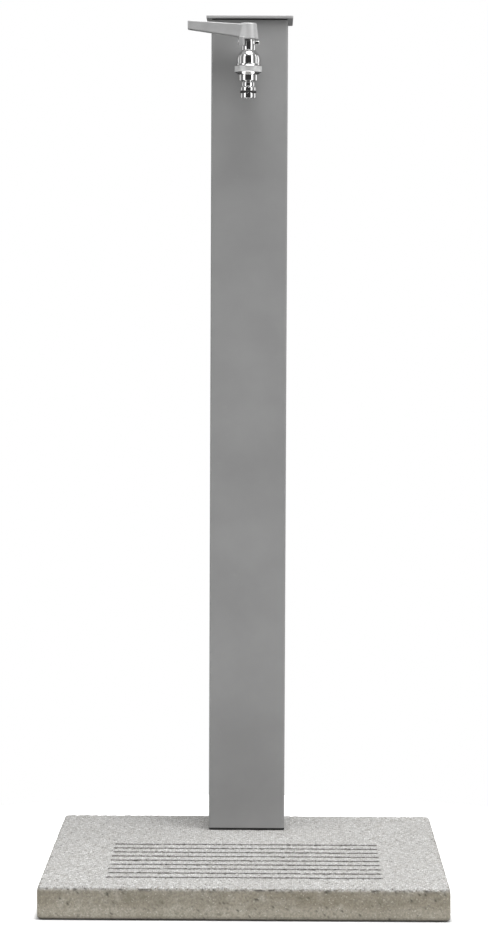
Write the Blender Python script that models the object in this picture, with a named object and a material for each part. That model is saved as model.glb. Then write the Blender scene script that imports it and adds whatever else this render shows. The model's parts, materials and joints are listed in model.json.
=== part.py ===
"""Garden water post: a square steel column on a grooved concrete slab, with a ball-valve hose tap.

Metres, +Z up. The origin is the centre of the slab's underside. The front, where the tap is, faces -Y.
"""
import math

import bmesh
import bpy
from mathutils import Matrix, Vector

# Fits
GAP = 0.0003                 # between pieces that touch, and around turning pieces

# Whole post
POST_HEIGHT = 1.000
SLAB_SIDE = 0.447
SLAB_THICK = 0.036
SLAB_CORNER = 0.005
SLAB_EDGE = 0.0022
BACK_MARGIN = 0.0101         # from the column's rear face to the slab's rear edge

# Grooves in the slab's top
GROOVE_COUNT = 9
GROOVE_PITCH = 0.0243
GROOVE_LENGTH = 0.300
GROOVE_WIDTH = 0.0058
GROOVE_FLOOR = 0.0034
GROOVE_DEPTH = 0.0042
GROOVE_FRONT = 0.0593        # from the slab's front edge to the first groove's centre

# Column, foot and cap
COLUMN_SIDE = 0.090
COLUMN_WALL = 0.0025
COLUMN_CORNER = 0.0022
FOOT_SHEET = 0.0014
FOOT_PLATE_THICK = 0.008
FOOT_BOLT_INSET = 0.017      # from the column's outer face to a bolt's axis
CAP_THICK = 0.0032
CAP_OVERHANG = 0.0059
CAP_CORNER = 0.0016
CAP_EDGE = 0.0006
CAP_SEAL_THICK = 0.0008
CAP_SEAL_WIDTH = 0.0014
INSERT_TOP = 0.004
INSERT_SKIRT = 0.011
INSERT_WALL = 0.003
CAP_SCREW_INSET = 0.017
CAP_SCREW_BITE = 0.0018

# Foot bolts (M8) and cap screws (M4)
BOLT_R = 0.004
BOLT_FLATS = 0.013
BOLT_HEAD = 0.0053
BOLT_WASHER_R = 0.012
BOLT_WASHER = 0.002
COUNTERBORE_R = BOLT_WASHER_R + 0.0015
COUNTERBORE = 0.011
BOLT_PROUD = 0.0015
CAP_SCREW_R = 0.002
CAP_SCREW_HEAD_R = 0.0038
CAP_SCREW_HEAD = 0.0024

# Tap: the ball sets its chamber and housing. Heights are above the water axis.
TAP_X = -0.001
TAP_DROP = 0.0542            # from the cap's top to the tap's water axis
WATERWAY_R = 0.0040
BALL_R = 0.0075
CHAMBER_R = BALL_R + 0.0009
CHAMBER_HALF = BALL_R + 0.0011
HOUSING_WALL = 0.00183
HOUSING_R = math.hypot(CHAMBER_R, CHAMBER_HALF) + HOUSING_WALL
INLET_SCREWED = 0.0069       # depth of the inlet piece's plug in the housing
HOUSING_REAR = CHAMBER_HALF + INLET_SCREWED
HOUSING_EDGE = 0.0020
SEAT_LIP_R = WATERWAY_R + 0.0005
SEAT_FACE_R = BALL_R - 0.0009
SLOT_HALF = 0.0016
SLOT_WEB = 0.0009            # metal between the ball's slot and its bore
SLOT_DEPTH = BALL_R - WATERWAY_R - SLOT_WEB
TANG_HALF_LENGTH = 0.0038

# Stem, its seals and the tower round them
STEM_R = 0.0045
STEM_FLANGE_R = STEM_R + 0.0014
STEM_FLANGE = 0.0018
STEM_WEB = 0.0036            # metal between the stem's flange and its packing
PACKING_R = STEM_R + 0.0019
PACKING = 0.0040
TOWER_WALL = 0.0016
TOWER_R = PACKING_R + TOWER_WALL
TOWER_TOP = CHAMBER_R + STEM_FLANGE + 2 * GAP + STEM_WEB + 2 * PACKING
GLAND_FLANGE_R = TOWER_R - 0.0006
GLAND_FLANGE = 0.0030
SQUARE_HALF = STEM_R - 0.00135
SQUARE_LENGTH = 0.0085

# Stops: a tab on the lever turns between two ears on the tower
TAB_IN = TOWER_R + 0.0012
TAB_OUT = TAB_IN + 0.0036
TAB_HALF = 0.0035
TAB_ANGLE = math.radians(225)
STOP_ROOM = 0.0005
STOP_HALF = (TAB_IN - TAB_HALF) * math.cos(math.radians(45)) - STOP_ROOM
STOP_REACH = TOWER_R + 0.0045
STOP_HIGH = TOWER_TOP - 0.0005
STOP_LOW = STOP_HIGH - 0.0040
TAB_LOW = STOP_LOW - 0.0017

# Tap's inlet piece and the pieces that clamp it to the column
TAIL_R = 0.0103
TAIL_TO_MIDDLE = 0.0110      # from the tail's end to the column's middle
TAIL_LENGTH = COLUMN_SIDE / 2 - TAIL_TO_MIDDLE
TAIL_FLANGE_R = TAIL_R + 0.0027
TAIL_FLANGE = 0.0054
HEX_FLATS = 2 * (CHAMBER_R + 0.0036)
HEX_LENGTH = 0.0062
WALL_GASKET = 0.0020
WALL_GASKET_R = TAIL_FLANGE_R
WALL_WASHER = 0.0015
WALL_WASHER_R = TAIL_R + 0.0067
WALL_NUT = 0.0070
WALL_NUT_FLATS = 2 * (TAIL_R + 0.0047)
STEM_REACH = HOUSING_REAR + HEX_LENGTH + TAIL_FLANGE + WALL_GASKET + 3 * GAP
SPOUT_LENGTH = 0.0320        # from the stem's axis to the outlet's axis

# Spout and outlet, with depths below the water axis
SPOUT_R = 0.0106
BRIDGE_R = WATERWAY_R + 0.0024
COLLAR_TOP = BRIDGE_R + 0.0004
OUTLET_R = 0.01305
OUTLET_BORE_R = 0.0075
OUTLET_TOP = COLLAR_TOP + 0.0007
OUTLET_SHOULDER = 0.0008
OUTLET_THREAD = 0.0058
OUTLET_END = OUTLET_TOP + OUTLET_THREAD
OUTLET_WASHER = 0.0017

# Lever: its boss covers the gland, and its arm rises towards the tip
BOSS_LOW = TOWER_TOP + 0.0018
BOSS_HEIGHT = 0.0188
BOSS_HIGH = BOSS_LOW + BOSS_HEIGHT
BOSS_RECESS_R = GLAND_FLANGE_R + 0.0010
BOSS_LOW_R = BOSS_RECESS_R + 0.0032
BOSS_HIGH_R = BOSS_LOW_R - 0.0024
BOSS_EDGE = 0.0008
BOSS_WEB = 0.0040
ARM_REACH = 0.0710
ARM_ROOT_LOW = BOSS_LOW + 0.0011
ARM_ROOT_HIGH = BOSS_HIGH - 0.0016
ARM_TIP_LOW = ARM_ROOT_LOW + 0.0104
ARM_TIP_HIGH = ARM_ROOT_HIGH + 0.0041
ARM_TIP_LEAN = 0.0010
ARM_ROOT_HALF = 0.0070
ARM_TIP_HALF = 0.0088
ARM_SKIN = 0.0024
ARM_EDGE = 0.0011
LEVER_SCREW_R = 0.0020
LEVER_SCREW_HEAD_R = 0.0045
LEVER_SCREW_HEAD = 0.0024
LEVER_SCREW_LENGTH = 0.0130
SCREW_SLOT_HALF = 0.0006
SCREW_SLOT_DEPTH = 0.0010
LEVER_WASHER = 0.0010
LEVER_WASHER_R = LEVER_SCREW_HEAD_R + 0.0007
SCREW_RECESS_R = LEVER_WASHER_R + 0.0008
SCREW_RECESS = 0.0040

# Hose nozzle: its collar screws over the outlet, and the rest follows downwards
COLLAR_RIM_R = OUTLET_R + GAP + 0.00095
COLLAR_R = OUTLET_R + 0.00285
GRIP_TOP = COLLAR_TOP + 0.0028
NOZZLE_FLOOR = OUTLET_END + OUTLET_WASHER + 2 * GAP
GRIP_LOW = NOZZLE_FLOOR + 0.0003
COLLAR_LOW = GRIP_LOW + 0.0033
COLLAR_LOW_R = 0.0120
BARREL_R = 0.0109
BARREL_LOW = COLLAR_LOW + 0.0066
NECK_R = 0.0075
NECK_TOP = BARREL_LOW + 0.0021
NECK_LOW = NECK_TOP + 0.0045
TIP_R = 0.00905
RIDGE_TOP = NECK_LOW + 0.0013
RING_SECTION_R = 0.0012
RING_PROUD = 0.0005
TIP_EDGE = 0.0010
RING_GROOVE = RIDGE_TOP + 0.0052
NOZZLE_END = RING_GROOVE + 0.0073
NOZZLE_BORE_R = 0.0052

# Supply parts inside the column
SUPPLY_HEIGHT = 0.090
SUPPLY_BORE_R = 0.0094
SUPPLY_R = SUPPLY_BORE_R + 0.0036
SUPPLY_BORE = 0.0150
SUPPLY_FLATS = 2 * (SUPPLY_R + 0.0020)
SUPPLY_HEAD = 0.0072
SUPPLY_GASKET = 0.0015
SUPPLY_GASKET_R = SUPPLY_R + 0.0030
SUPPLY_NUT = 0.0066
SUPPLY_NUT_FLATS = 2 * (SUPPLY_R + 0.0050)
SUPPLY_SHANK = 0.0130        # length of the full-size thread from the column's rear face inwards
SUPPLY_TAIL = COLUMN_SIDE / 2 - SUPPLY_SHANK - TAIL_TO_MIDDLE
HOSE_R = 0.0095
HOSE_BORE_R = 0.0066
ELBOW_SOCKET_R = TAIL_R + 0.0037
ELBOW_SOCKET = 0.0160
SOCKET_SHOULDER = 0.0030
ELBOW_LEG_R = 0.0085
ELBOW_LEG = 0.0180           # from the water axis to the barb
BARB_LENGTH = 0.0250
PIPE_BORE_R = 0.0045
CLAMP_BAND = 0.0010
CLAMP_WIDTH = 0.0100
CLAMP_OFFSET = 0.0060
CLAMP_LUG = 0.0070
CLAMP_LUG_HALF = 0.0060
CLAMP_SCREW_R = 0.0032
CLAMP_SCREW_HALF = 0.0110

# Facets
FINE = 32
MEDIUM = 24
COARSE = 16

# Points closer than this are one point
WELD_DISTANCE = 0.00001

# How far a helper shape runs into the shape that it is joined to, and past the shape that it cuts
OVERLAP = 0.0007
BEYOND = 0.01

# Places that follow from the sizes
COLUMN_FACE = SLAB_SIDE / 2 - BACK_MARGIN - COLUMN_SIDE
COLUMN_REAR = COLUMN_FACE + COLUMN_SIDE
COLUMN_MID = COLUMN_FACE + COLUMN_SIDE / 2
COLUMN_BOTTOM = SLAB_THICK + FOOT_SHEET + 2 * GAP
CAP_UNDER = POST_HEIGHT - CAP_THICK
COLUMN_TOP = CAP_UNDER - CAP_SEAL_THICK - 2 * GAP
COLUMN_INNER = COLUMN_SIDE / 2 - COLUMN_WALL
WATER_Z = POST_HEIGHT - TAP_DROP
STEM_Y = COLUMN_FACE - STEM_REACH
NOZZLE_Y = STEM_Y - SPOUT_LENGTH


# ---------------------------------------------------------------- helpers

def clear_scene():
    for item in list(bpy.data.objects):
        bpy.data.objects.remove(item, do_unlink=True)


def paint(item, colour, roughness, metallic):
    """Give one object its own Principled material."""
    material = bpy.data.materials.new(item.name)
    material.use_nodes = True
    shader = material.node_tree.nodes["Principled BSDF"]
    shader.inputs["Base Color"].default_value = (*colour, 1.0)
    shader.inputs["Roughness"].default_value = roughness
    shader.inputs["Metallic"].default_value = metallic
    item.data.materials.append(material)
    return item


def to_object(name, mesh_edit, location=(0, 0, 0), smooth=False):
    """Turn a bmesh into a linked object with its faces pointing out."""
    bmesh.ops.recalc_face_normals(mesh_edit, faces=mesh_edit.faces)
    mesh = bpy.data.meshes.new(name)
    mesh_edit.to_mesh(mesh)
    mesh_edit.free()
    if smooth:
        mesh.shade_smooth()
        mesh.set_sharp_from_angle(angle=math.radians(32))
    item = bpy.data.objects.new(name, mesh)
    item.location = location
    bpy.context.collection.objects.link(item)
    return item


def turned(name, profile, location, segments=MEDIUM, axis="Z"):
    """Spin (radius, height) points about an axis. A point at radius 0 closes the piece on the axis."""
    mesh_edit = bmesh.new()
    corners = [mesh_edit.verts.new((radius, 0, height)) for radius, height in profile]
    touches_axis = profile[0][0] == 0
    edges = [mesh_edit.edges.new(pair) for pair in zip(corners, corners[1:])]
    if not touches_axis:
        edges.append(mesh_edit.edges.new((corners[-1], corners[0])))
    bmesh.ops.spin(mesh_edit, geom=corners + edges, cent=(0, 0, 0), axis=(0, 0, 1),
                   angle=2 * math.pi, steps=segments, use_merge=True)
    bmesh.ops.remove_doubles(mesh_edit, verts=mesh_edit.verts, dist=1e-6)
    if axis == "Y":
        bmesh.ops.rotate(mesh_edit, verts=mesh_edit.verts, cent=(0, 0, 0),
                         matrix=Matrix.Rotation(-math.pi / 2, 3, "X"))
    if axis == "X":
        bmesh.ops.rotate(mesh_edit, verts=mesh_edit.verts, cent=(0, 0, 0),
                         matrix=Matrix.Rotation(math.pi / 2, 3, "Y"))
    return to_object(name, mesh_edit, location, smooth=True)


def rod(name, radius, low, high, location, segments=MEDIUM, axis="Z"):
    return turned(name, [(0, low), (radius, low), (radius, high), (0, high)], location, segments, axis)


def ring(name, inner, outer, low, high, location, segments=MEDIUM, axis="Z"):
    profile = [(inner, low), (outer, low), (outer, high), (inner, high)]
    return turned(name, profile, location, segments, axis)


def prism(name, outline, low, high, location, axis="Z"):
    """Extrude a flat outline along an axis."""
    mesh_edit = bmesh.new()
    face = mesh_edit.faces.new([mesh_edit.verts.new((x, y, low)) for x, y in outline])
    grown = bmesh.ops.extrude_face_region(mesh_edit, geom=[face])
    moved = [part for part in grown["geom"] if isinstance(part, bmesh.types.BMVert)]
    bmesh.ops.translate(mesh_edit, verts=moved, vec=(0, 0, high - low))
    if axis == "Y":
        bmesh.ops.rotate(mesh_edit, verts=mesh_edit.verts, cent=(0, 0, 0),
                         matrix=Matrix.Rotation(-math.pi / 2, 3, "X"))
    return to_object(name, mesh_edit, location)


def regular_outline(flats, sides=6):
    """A regular polygon's corners, from its width across flats."""
    radius = flats / 2 / math.cos(math.pi / sides)
    turns = [2 * math.pi * (index + 0.5) / sides for index in range(sides)]
    return [(radius * math.cos(turn), radius * math.sin(turn)) for turn in turns]


def square_outline(half, corner=0.0, steps=4):
    """A square's outline, with rounded corners where a corner radius is given."""
    if corner <= 0:
        return [(half, half), (-half, half), (-half, -half), (half, -half)]
    points = []
    for quarter in range(4):
        turn = quarter * math.pi / 2
        centre = Vector((half - corner, half - corner))
        centre.rotate(Matrix.Rotation(turn, 2))
        for step in range(steps + 1):
            angle = turn + step / steps * math.pi / 2
            points.append((centre.x + corner * math.cos(angle), centre.y + corner * math.sin(angle)))
    return points


def block(name, low, high, location=(0, 0, 0)):
    """A box between two corners, placed by its own location."""
    mesh_edit = bmesh.new()
    bmesh.ops.create_cube(mesh_edit, size=1)
    size = Vector(high) - Vector(low)
    middle = (Vector(high) + Vector(low)) / 2
    bmesh.ops.scale(mesh_edit, verts=mesh_edit.verts, vec=size)
    bmesh.ops.translate(mesh_edit, verts=mesh_edit.verts, vec=middle)
    return to_object(name, mesh_edit, location)


def combine(target, helpers, operation):
    """Cut or join helper objects into a target with exact Booleans."""
    for helper in helpers:
        helper.hide_render = True
        helper.display_type = "WIRE"
        step = target.modifiers.new(helper.name, "BOOLEAN")
        step.operation = operation
        step.solver = "EXACT"
        step.object = helper
    return target


def cut(target, *helpers):
    return combine(target, helpers, "DIFFERENCE")


def join(target, *helpers):
    return combine(target, helpers, "UNION")


def weld_seams():
    """Merge the almost equal points that Booleans leave where their facets meet."""
    for item in bpy.data.objects:
        if any(step.type == "BOOLEAN" for step in item.modifiers):
            step = item.modifiers.new("Weld", "WELD")
            step.merge_threshold = WELD_DISTANCE


def round_edges(item, width, segments=2, angle=math.radians(40)):
    step = item.modifiers.new("Bevel", "BEVEL")
    step.width = width
    step.segments = segments
    step.limit_method = "ANGLE"
    step.angle_limit = angle
    return item


def corner_places(half):
    return [(-half, -half), (half, -half), (half, half), (-half, half)]


# ---------------------------------------------------------------- base and column

def make_slab():
    slab = prism("base_slab", square_outline(SLAB_SIDE / 2, SLAB_CORNER), 0, SLAB_THICK, (0, 0, 0))
    round_edges(slab, SLAB_EDGE, 2, math.radians(60))
    for index in range(GROOVE_COUNT):
        y = -SLAB_SIDE / 2 + GROOVE_FRONT + index * GROOVE_PITCH
        half_top = GROOVE_WIDTH / 2
        half_floor = GROOVE_FLOOR / 2
        slope = (half_top - half_floor) / GROOVE_DEPTH
        half_above = half_top + slope * GROOVE_DEPTH
        outline = [(-half_floor, -GROOVE_DEPTH), (half_floor, -GROOVE_DEPTH),
                   (half_above, GROOVE_DEPTH), (-half_above, GROOVE_DEPTH)]
        groove = prism(f"groove_cutter_{index + 1}", outline, -GROOVE_LENGTH / 2, GROOVE_LENGTH / 2,
                       (0, y, SLAB_THICK))
        groove.rotation_euler = (math.pi / 2, 0, math.pi / 2)
        cut(slab, groove)
    for index, (x, y) in enumerate(corner_places(COLUMN_SIDE / 2 - FOOT_BOLT_INSET)):
        place = (x, COLUMN_MID + y, 0)
        hole_r = BOLT_R + 2 * GAP
        profile = [(0, -BEYOND), (COUNTERBORE_R, -BEYOND), (COUNTERBORE_R, COUNTERBORE),
                   (hole_r, COUNTERBORE), (hole_r, SLAB_THICK + BEYOND), (0, SLAB_THICK + BEYOND)]
        cut(slab, turned(f"slab_hole_{index + 1}", profile, place, COARSE))
    paint(slab, (0.47, 0.46, 0.43), 0.9, 0.0)


def make_foot():
    """Rubber sheet, foot plate, and the bolts and washers that hold the post from below."""
    sheet_low = SLAB_THICK + GAP
    sheet = prism("foot_sheet", square_outline(COLUMN_SIDE / 2, COLUMN_CORNER), 0, FOOT_SHEET,
                  (0, COLUMN_MID, sheet_low))
    plate = prism("foot_plate", square_outline(COLUMN_INNER - GAP), 0, FOOT_PLATE_THICK,
                  (0, COLUMN_MID, COLUMN_BOTTOM))
    bolt_length = COLUMN_BOTTOM + FOOT_PLATE_THICK + BOLT_PROUD
    washer_low = COUNTERBORE - GAP - BOLT_WASHER
    head_high = washer_low - GAP
    for index, (x, y) in enumerate(corner_places(COLUMN_SIDE / 2 - FOOT_BOLT_INSET)):
        place = (x, COLUMN_MID + y, 0)
        number = index + 1
        cut(sheet, rod(f"sheet_hole_{number}", BOLT_R + 2 * GAP, -BEYOND, COLUMN_TOP, place, COARSE))
        cut(plate, rod(f"plate_hole_{number}", BOLT_R + GAP, -BEYOND, COLUMN_TOP, place, COARSE))
        bolt = prism(f"foot_bolt_{number}", regular_outline(BOLT_FLATS),
                     head_high - BOLT_HEAD, head_high, place)
        join(bolt, rod(f"foot_shank_{number}", BOLT_R, head_high - OVERLAP, bolt_length, place, COARSE))
        washer = ring(f"foot_washer_{number}", BOLT_R + GAP, BOLT_WASHER_R, washer_low,
                      washer_low + BOLT_WASHER, place, COARSE)
        paint(bolt, (0.62, 0.62, 0.60), 0.35, 1.0)
        paint(washer, (0.62, 0.62, 0.60), 0.4, 1.0)
    paint(sheet, (0.02, 0.02, 0.02), 0.8, 0.0)
    paint(plate, (0.30, 0.30, 0.30), 0.6, 1.0)


def make_column():
    height = COLUMN_TOP - COLUMN_BOTTOM
    column = prism("column", square_outline(COLUMN_SIDE / 2, COLUMN_CORNER), 0, height,
                   (0, COLUMN_MID, COLUMN_BOTTOM))
    hollow = prism("column_hollow", square_outline(COLUMN_INNER), -BEYOND, height + BEYOND,
                   (0, COLUMN_MID, COLUMN_BOTTOM))
    tap_hole = rod("column_tap_hole", TAIL_R + 2 * GAP, -COLUMN_WALL, 2 * COLUMN_WALL,
                   (TAP_X, COLUMN_FACE, WATER_Z), axis="Y")
    supply_hole = rod("column_supply_hole", SUPPLY_R + 2 * GAP, -2 * COLUMN_WALL, COLUMN_WALL,
                      (TAP_X, COLUMN_REAR, SUPPLY_HEIGHT), axis="Y")
    cut(column, hollow, tap_hole, supply_hole)
    paint(column, (0.30, 0.30, 0.30), 0.42, 0.35)


def make_cap():
    """Flat plate, the sealing frame under it, and the insert that locates it in the column."""
    half = COLUMN_SIDE / 2 + CAP_OVERHANG
    plate = prism("cap_plate", square_outline(half, CAP_CORNER), 0, CAP_THICK, (0, COLUMN_MID, CAP_UNDER))
    round_edges(plate, CAP_EDGE, 2, math.radians(60))
    seal_low = COLUMN_TOP + GAP
    seal_outer = COLUMN_INNER + GAP + CAP_SEAL_WIDTH
    seal = prism("cap_seal", square_outline(seal_outer), 0, CAP_SEAL_THICK,
                 (0, COLUMN_MID, seal_low))
    cut(seal, prism("seal_hollow", square_outline(COLUMN_INNER + GAP), -BEYOND, BEYOND,
                    (0, COLUMN_MID, seal_low)))
    insert_high = CAP_UNDER - GAP
    insert_low = insert_high - INSERT_TOP - INSERT_SKIRT
    insert = prism("cap_insert", square_outline(COLUMN_INNER - GAP), insert_low, insert_high,
                   (0, COLUMN_MID, 0))
    cut(insert, prism("insert_hollow", square_outline(COLUMN_INNER - GAP - INSERT_WALL),
                      insert_low - BEYOND, insert_high - INSERT_TOP, (0, COLUMN_MID, 0)))
    seat = insert_high - INSERT_TOP - GAP
    for index, (x, y) in enumerate(corner_places(COLUMN_SIDE / 2 - CAP_SCREW_INSET)):
        place = (x, COLUMN_MID + y, 0)
        number = index + 1
        top = CAP_UNDER + CAP_SCREW_BITE
        hole = rod(f"cap_hole_{number}", CAP_SCREW_R + GAP, seat, top + GAP, place, COARSE)
        cut(plate, hole)
        cut(insert, hole)
        profile = [(0, seat - CAP_SCREW_HEAD), (CAP_SCREW_HEAD_R, seat - CAP_SCREW_HEAD),
                   (CAP_SCREW_HEAD_R, seat), (CAP_SCREW_R, seat), (CAP_SCREW_R, top), (0, top)]
        screw = turned(f"cap_screw_{number}", profile, place, COARSE)
        paint(screw, (0.62, 0.62, 0.60), 0.35, 1.0)
    paint(plate, (0.42, 0.42, 0.42), 0.38, 0.4)
    paint(seal, (0.02, 0.02, 0.02), 0.8, 0.0)
    paint(insert, (0.05, 0.05, 0.05), 0.6, 0.0)


# ---------------------------------------------------------------- tap

def housing_profile():
    """The ball housing's outline about the water axis, from its front to its rear face."""
    joint_r = BRIDGE_R - 2 * GAP
    start = math.acos(joint_r / HOUSING_R)
    arc = [start * (1 - step / 8) for step in range(9)]
    points = [(0, -HOUSING_R * math.sin(start))]
    points += [(HOUSING_R * math.cos(turn), -HOUSING_R * math.sin(turn)) for turn in arc]
    points += [(HOUSING_R, HOUSING_REAR - HOUSING_EDGE), (HOUSING_R - HOUSING_EDGE / 2, HOUSING_REAR),
               (0, HOUSING_REAR)]
    return points


def spout_profile():
    """The spout's outline about the outlet axis: a domed top, and a wider thread at the bottom."""
    turns = [math.pi / 2 * (1 - step / 8) for step in range(9)]
    points = [(0, SPOUT_R)]
    points += [(SPOUT_R * math.cos(turn), SPOUT_R * math.sin(turn)) for turn in turns[1:]]
    points += [(SPOUT_R, -OUTLET_TOP), (OUTLET_R, -OUTLET_TOP - OUTLET_SHOULDER), (OUTLET_R, -OUTLET_END),
               (0, -OUTLET_END)]
    return points


def make_tap_body():
    water = (TAP_X, STEM_Y, WATER_Z)
    outlet = (TAP_X, NOZZLE_Y, WATER_Z)
    body = turned("tap_body", housing_profile(), water, FINE, "Y")
    spout = turned("body_spout", spout_profile(), outlet, FINE)
    bridge = rod("body_bridge", BRIDGE_R, NOZZLE_Y - STEM_Y, 0, water, FINE, "Y")
    tower = rod("body_tower", TOWER_R, 0, TOWER_TOP, water)
    join(body, bridge, spout, tower)
    for side in (-1, 1):
        reach = sorted((side * TOWER_R * 0.8, side * STOP_REACH))
        stop = block(f"body_stop_{'left' if side < 0 else 'right'}", (reach[0], -STOP_HALF, STOP_LOW),
                     (reach[1], STOP_HALF, STOP_HIGH), water)
        join(body, stop)
    chamber = rod("body_chamber", CHAMBER_R, -CHAMBER_HALF, HOUSING_REAR + BEYOND, water, axis="Y")
    waterway = rod("body_waterway", WATERWAY_R, NOZZLE_Y - STEM_Y - OVERLAP, 0, water, COARSE, "Y")
    outlet_bore = rod("body_outlet", OUTLET_BORE_R, -OUTLET_END - BEYOND, WATERWAY_R + OVERLAP, outlet)
    pocket_r = STEM_FLANGE_R + GAP
    pocket_high = CHAMBER_R + STEM_FLANGE + 2 * GAP
    stem_r = STEM_R + GAP
    packing_low = TOWER_TOP - 2 * PACKING
    profile = [(0, OVERLAP), (pocket_r, OVERLAP), (pocket_r, pocket_high), (stem_r, pocket_high),
               (stem_r, packing_low), (PACKING_R, packing_low), (PACKING_R, TOWER_TOP + BEYOND),
               (0, TOWER_TOP + BEYOND)]
    stem_bore = turned("body_stem_bore", profile, water, COARSE)
    cut(body, chamber, waterway, outlet_bore, stem_bore)
    paint(body, (0.80, 0.80, 0.80), 0.08, 1.0)


def make_tap_inlet():
    """The screwed-in inlet piece: it closes the ball chamber and passes through the column's wall."""
    water = (TAP_X, STEM_Y, WATER_Z)
    chamber_end = CHAMBER_HALF + GAP
    hex_low = HOUSING_REAR + GAP
    flange_high = STEM_REACH - WALL_GASKET - 2 * GAP
    flange_low = flange_high - TAIL_FLANGE
    inlet = prism("tap_inlet", regular_outline(HEX_FLATS), hex_low, flange_low + OVERLAP, water, "Y")
    plug = rod("inlet_plug", CHAMBER_R - GAP, chamber_end, hex_low + OVERLAP, water, axis="Y")
    flange = rod("inlet_flange", TAIL_FLANGE_R, flange_low, flange_high, water, axis="Y")
    tail = rod("inlet_tail", TAIL_R, flange_low, STEM_REACH + TAIL_LENGTH, water, axis="Y")
    join(inlet, plug, flange, tail)
    bore = rod("inlet_bore", WATERWAY_R, 0, STEM_REACH + TAIL_LENGTH + BEYOND, water, COARSE, "Y")
    cut(inlet, bore)
    paint(inlet, (0.80, 0.80, 0.80), 0.12, 1.0)


def make_wall_clamping():
    face = (TAP_X, COLUMN_FACE, WATER_Z)
    hole = TAIL_R + GAP
    gasket = ring("tap_gasket", hole, WALL_GASKET_R, -GAP - WALL_GASKET, -GAP, face, axis="Y")
    washer_low = COLUMN_WALL + GAP
    washer = ring("tap_washer", hole, WALL_WASHER_R, washer_low, washer_low + WALL_WASHER, face, axis="Y")
    nut_low = washer_low + WALL_WASHER + GAP
    nut = prism("tap_nut", regular_outline(WALL_NUT_FLATS), nut_low, nut_low + WALL_NUT, face, "Y")
    cut(nut, rod("tap_nut_hole", hole, 0, nut_low + WALL_NUT + BEYOND, face, axis="Y"))
    paint(gasket, (0.03, 0.03, 0.03), 0.8, 0.0)
    paint(washer, (0.62, 0.62, 0.60), 0.4, 1.0)
    paint(nut, (0.55, 0.42, 0.18), 0.35, 1.0)


def make_seats():
    """Two plastic rings that hold the ball, each with a hollow face of the ball's radius."""
    water = (TAP_X, STEM_Y, WATER_Z)
    cup = BALL_R + GAP
    outer = CHAMBER_R - GAP
    back = CHAMBER_HALF - GAP
    steps = 6
    lip = math.asin(SEAT_LIP_R / cup)
    face = math.asin(SEAT_FACE_R / cup)
    for name, side in (("seat_front", -1), ("seat_rear", 1)):
        turns = [lip + (face - lip) * step / steps for step in range(steps + 1)]
        profile = [(SEAT_LIP_R, back)]
        profile += [(cup * math.sin(turn), cup * math.cos(turn)) for turn in turns]
        profile += [(outer, cup * math.cos(face)), (outer, back)]
        profile = [(radius, side * height) for radius, height in profile]
        seat = turned(name, profile, water, axis="Y")
        paint(seat, (0.85, 0.85, 0.82), 0.5, 0.0)


def make_stem_seals():
    water = (TAP_X, STEM_Y, WATER_Z)
    packing_low = TOWER_TOP - 2 * PACKING + GAP
    packing_high = packing_low + PACKING - 2 * GAP
    packing = ring("stem_packing", STEM_R + GAP, PACKING_R - GAP, packing_low, packing_high, water, COARSE)
    low = packing_high + GAP
    step = TOWER_TOP + GAP
    profile = [(STEM_R + GAP, low), (PACKING_R - GAP, low), (PACKING_R - GAP, step),
               (GLAND_FLANGE_R, step), (GLAND_FLANGE_R, step + GLAND_FLANGE),
               (STEM_R + GAP, step + GLAND_FLANGE)]
    gland = turned("gland_nut", profile, water, COARSE)
    paint(packing, (0.05, 0.05, 0.05), 0.7, 0.0)
    paint(gland, (0.80, 0.80, 0.80), 0.12, 1.0)


# ---------------------------------------------------------------- pieces that turn with the lever

def pivot_empty():
    """The stem's axis at the water axis: every turning piece hangs from it."""
    pivot = bpy.data.objects.new("stem_axis", None)
    pivot.location = (TAP_X, STEM_Y, WATER_Z)
    bpy.context.collection.objects.link(pivot)
    return pivot


def hang(pivot, *items):
    for item in items:
        item.parent = pivot


def square_low():
    """Height where the stem's round part ends and its square starts, inside the lever."""
    return TOWER_TOP + GAP + GLAND_FLANGE + 2 * GAP


def make_ball(pivot):
    turns = [math.pi * (step / 16 - 0.5) for step in range(17)]
    profile = [(BALL_R * math.cos(turn), BALL_R * math.sin(turn)) for turn in turns]
    profile[0] = (0, -BALL_R)
    profile[-1] = (0, BALL_R)
    ball = turned("valve_ball", profile, (0, 0, 0))
    bore = rod("ball_bore", WATERWAY_R, -2 * BALL_R, 2 * BALL_R, (0, 0, 0), COARSE, "X")
    slot = block("ball_slot", (-SLOT_HALF, -2 * BALL_R, BALL_R - SLOT_DEPTH),
                 (SLOT_HALF, 2 * BALL_R, 2 * BALL_R))
    cut(ball, bore, slot)
    paint(ball, (0.82, 0.82, 0.82), 0.1, 1.0)
    hang(pivot, ball, bore, slot)


def make_stem(pivot):
    flange_low = CHAMBER_R + GAP
    flange_high = flange_low + STEM_FLANGE
    round_high = square_low()
    square_high = round_high + SQUARE_LENGTH
    profile = [(0, flange_low), (STEM_FLANGE_R, flange_low), (STEM_FLANGE_R, flange_high),
               (STEM_R, flange_high), (STEM_R, round_high), (0, round_high)]
    stem = turned("valve_stem", profile, (0, 0, 0), COARSE)
    tang = block("stem_tang", (-SLOT_HALF + GAP, -TANG_HALF_LENGTH, BALL_R - SLOT_DEPTH + GAP),
                 (SLOT_HALF - GAP, TANG_HALF_LENGTH, flange_low + OVERLAP))
    square = prism("stem_square", square_outline(SQUARE_HALF), round_high - OVERLAP, square_high, (0, 0, 0))
    join(stem, tang, square)
    screw_hole = rod("stem_screw_hole", LEVER_SCREW_R + GAP,
                     lever_screw_low() - 2 * GAP, square_high + BEYOND, (0, 0, 0), COARSE)
    cut(stem, screw_hole)
    paint(stem, (0.70, 0.55, 0.25), 0.3, 1.0)
    hang(pivot, stem, tang, square, screw_hole)


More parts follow.
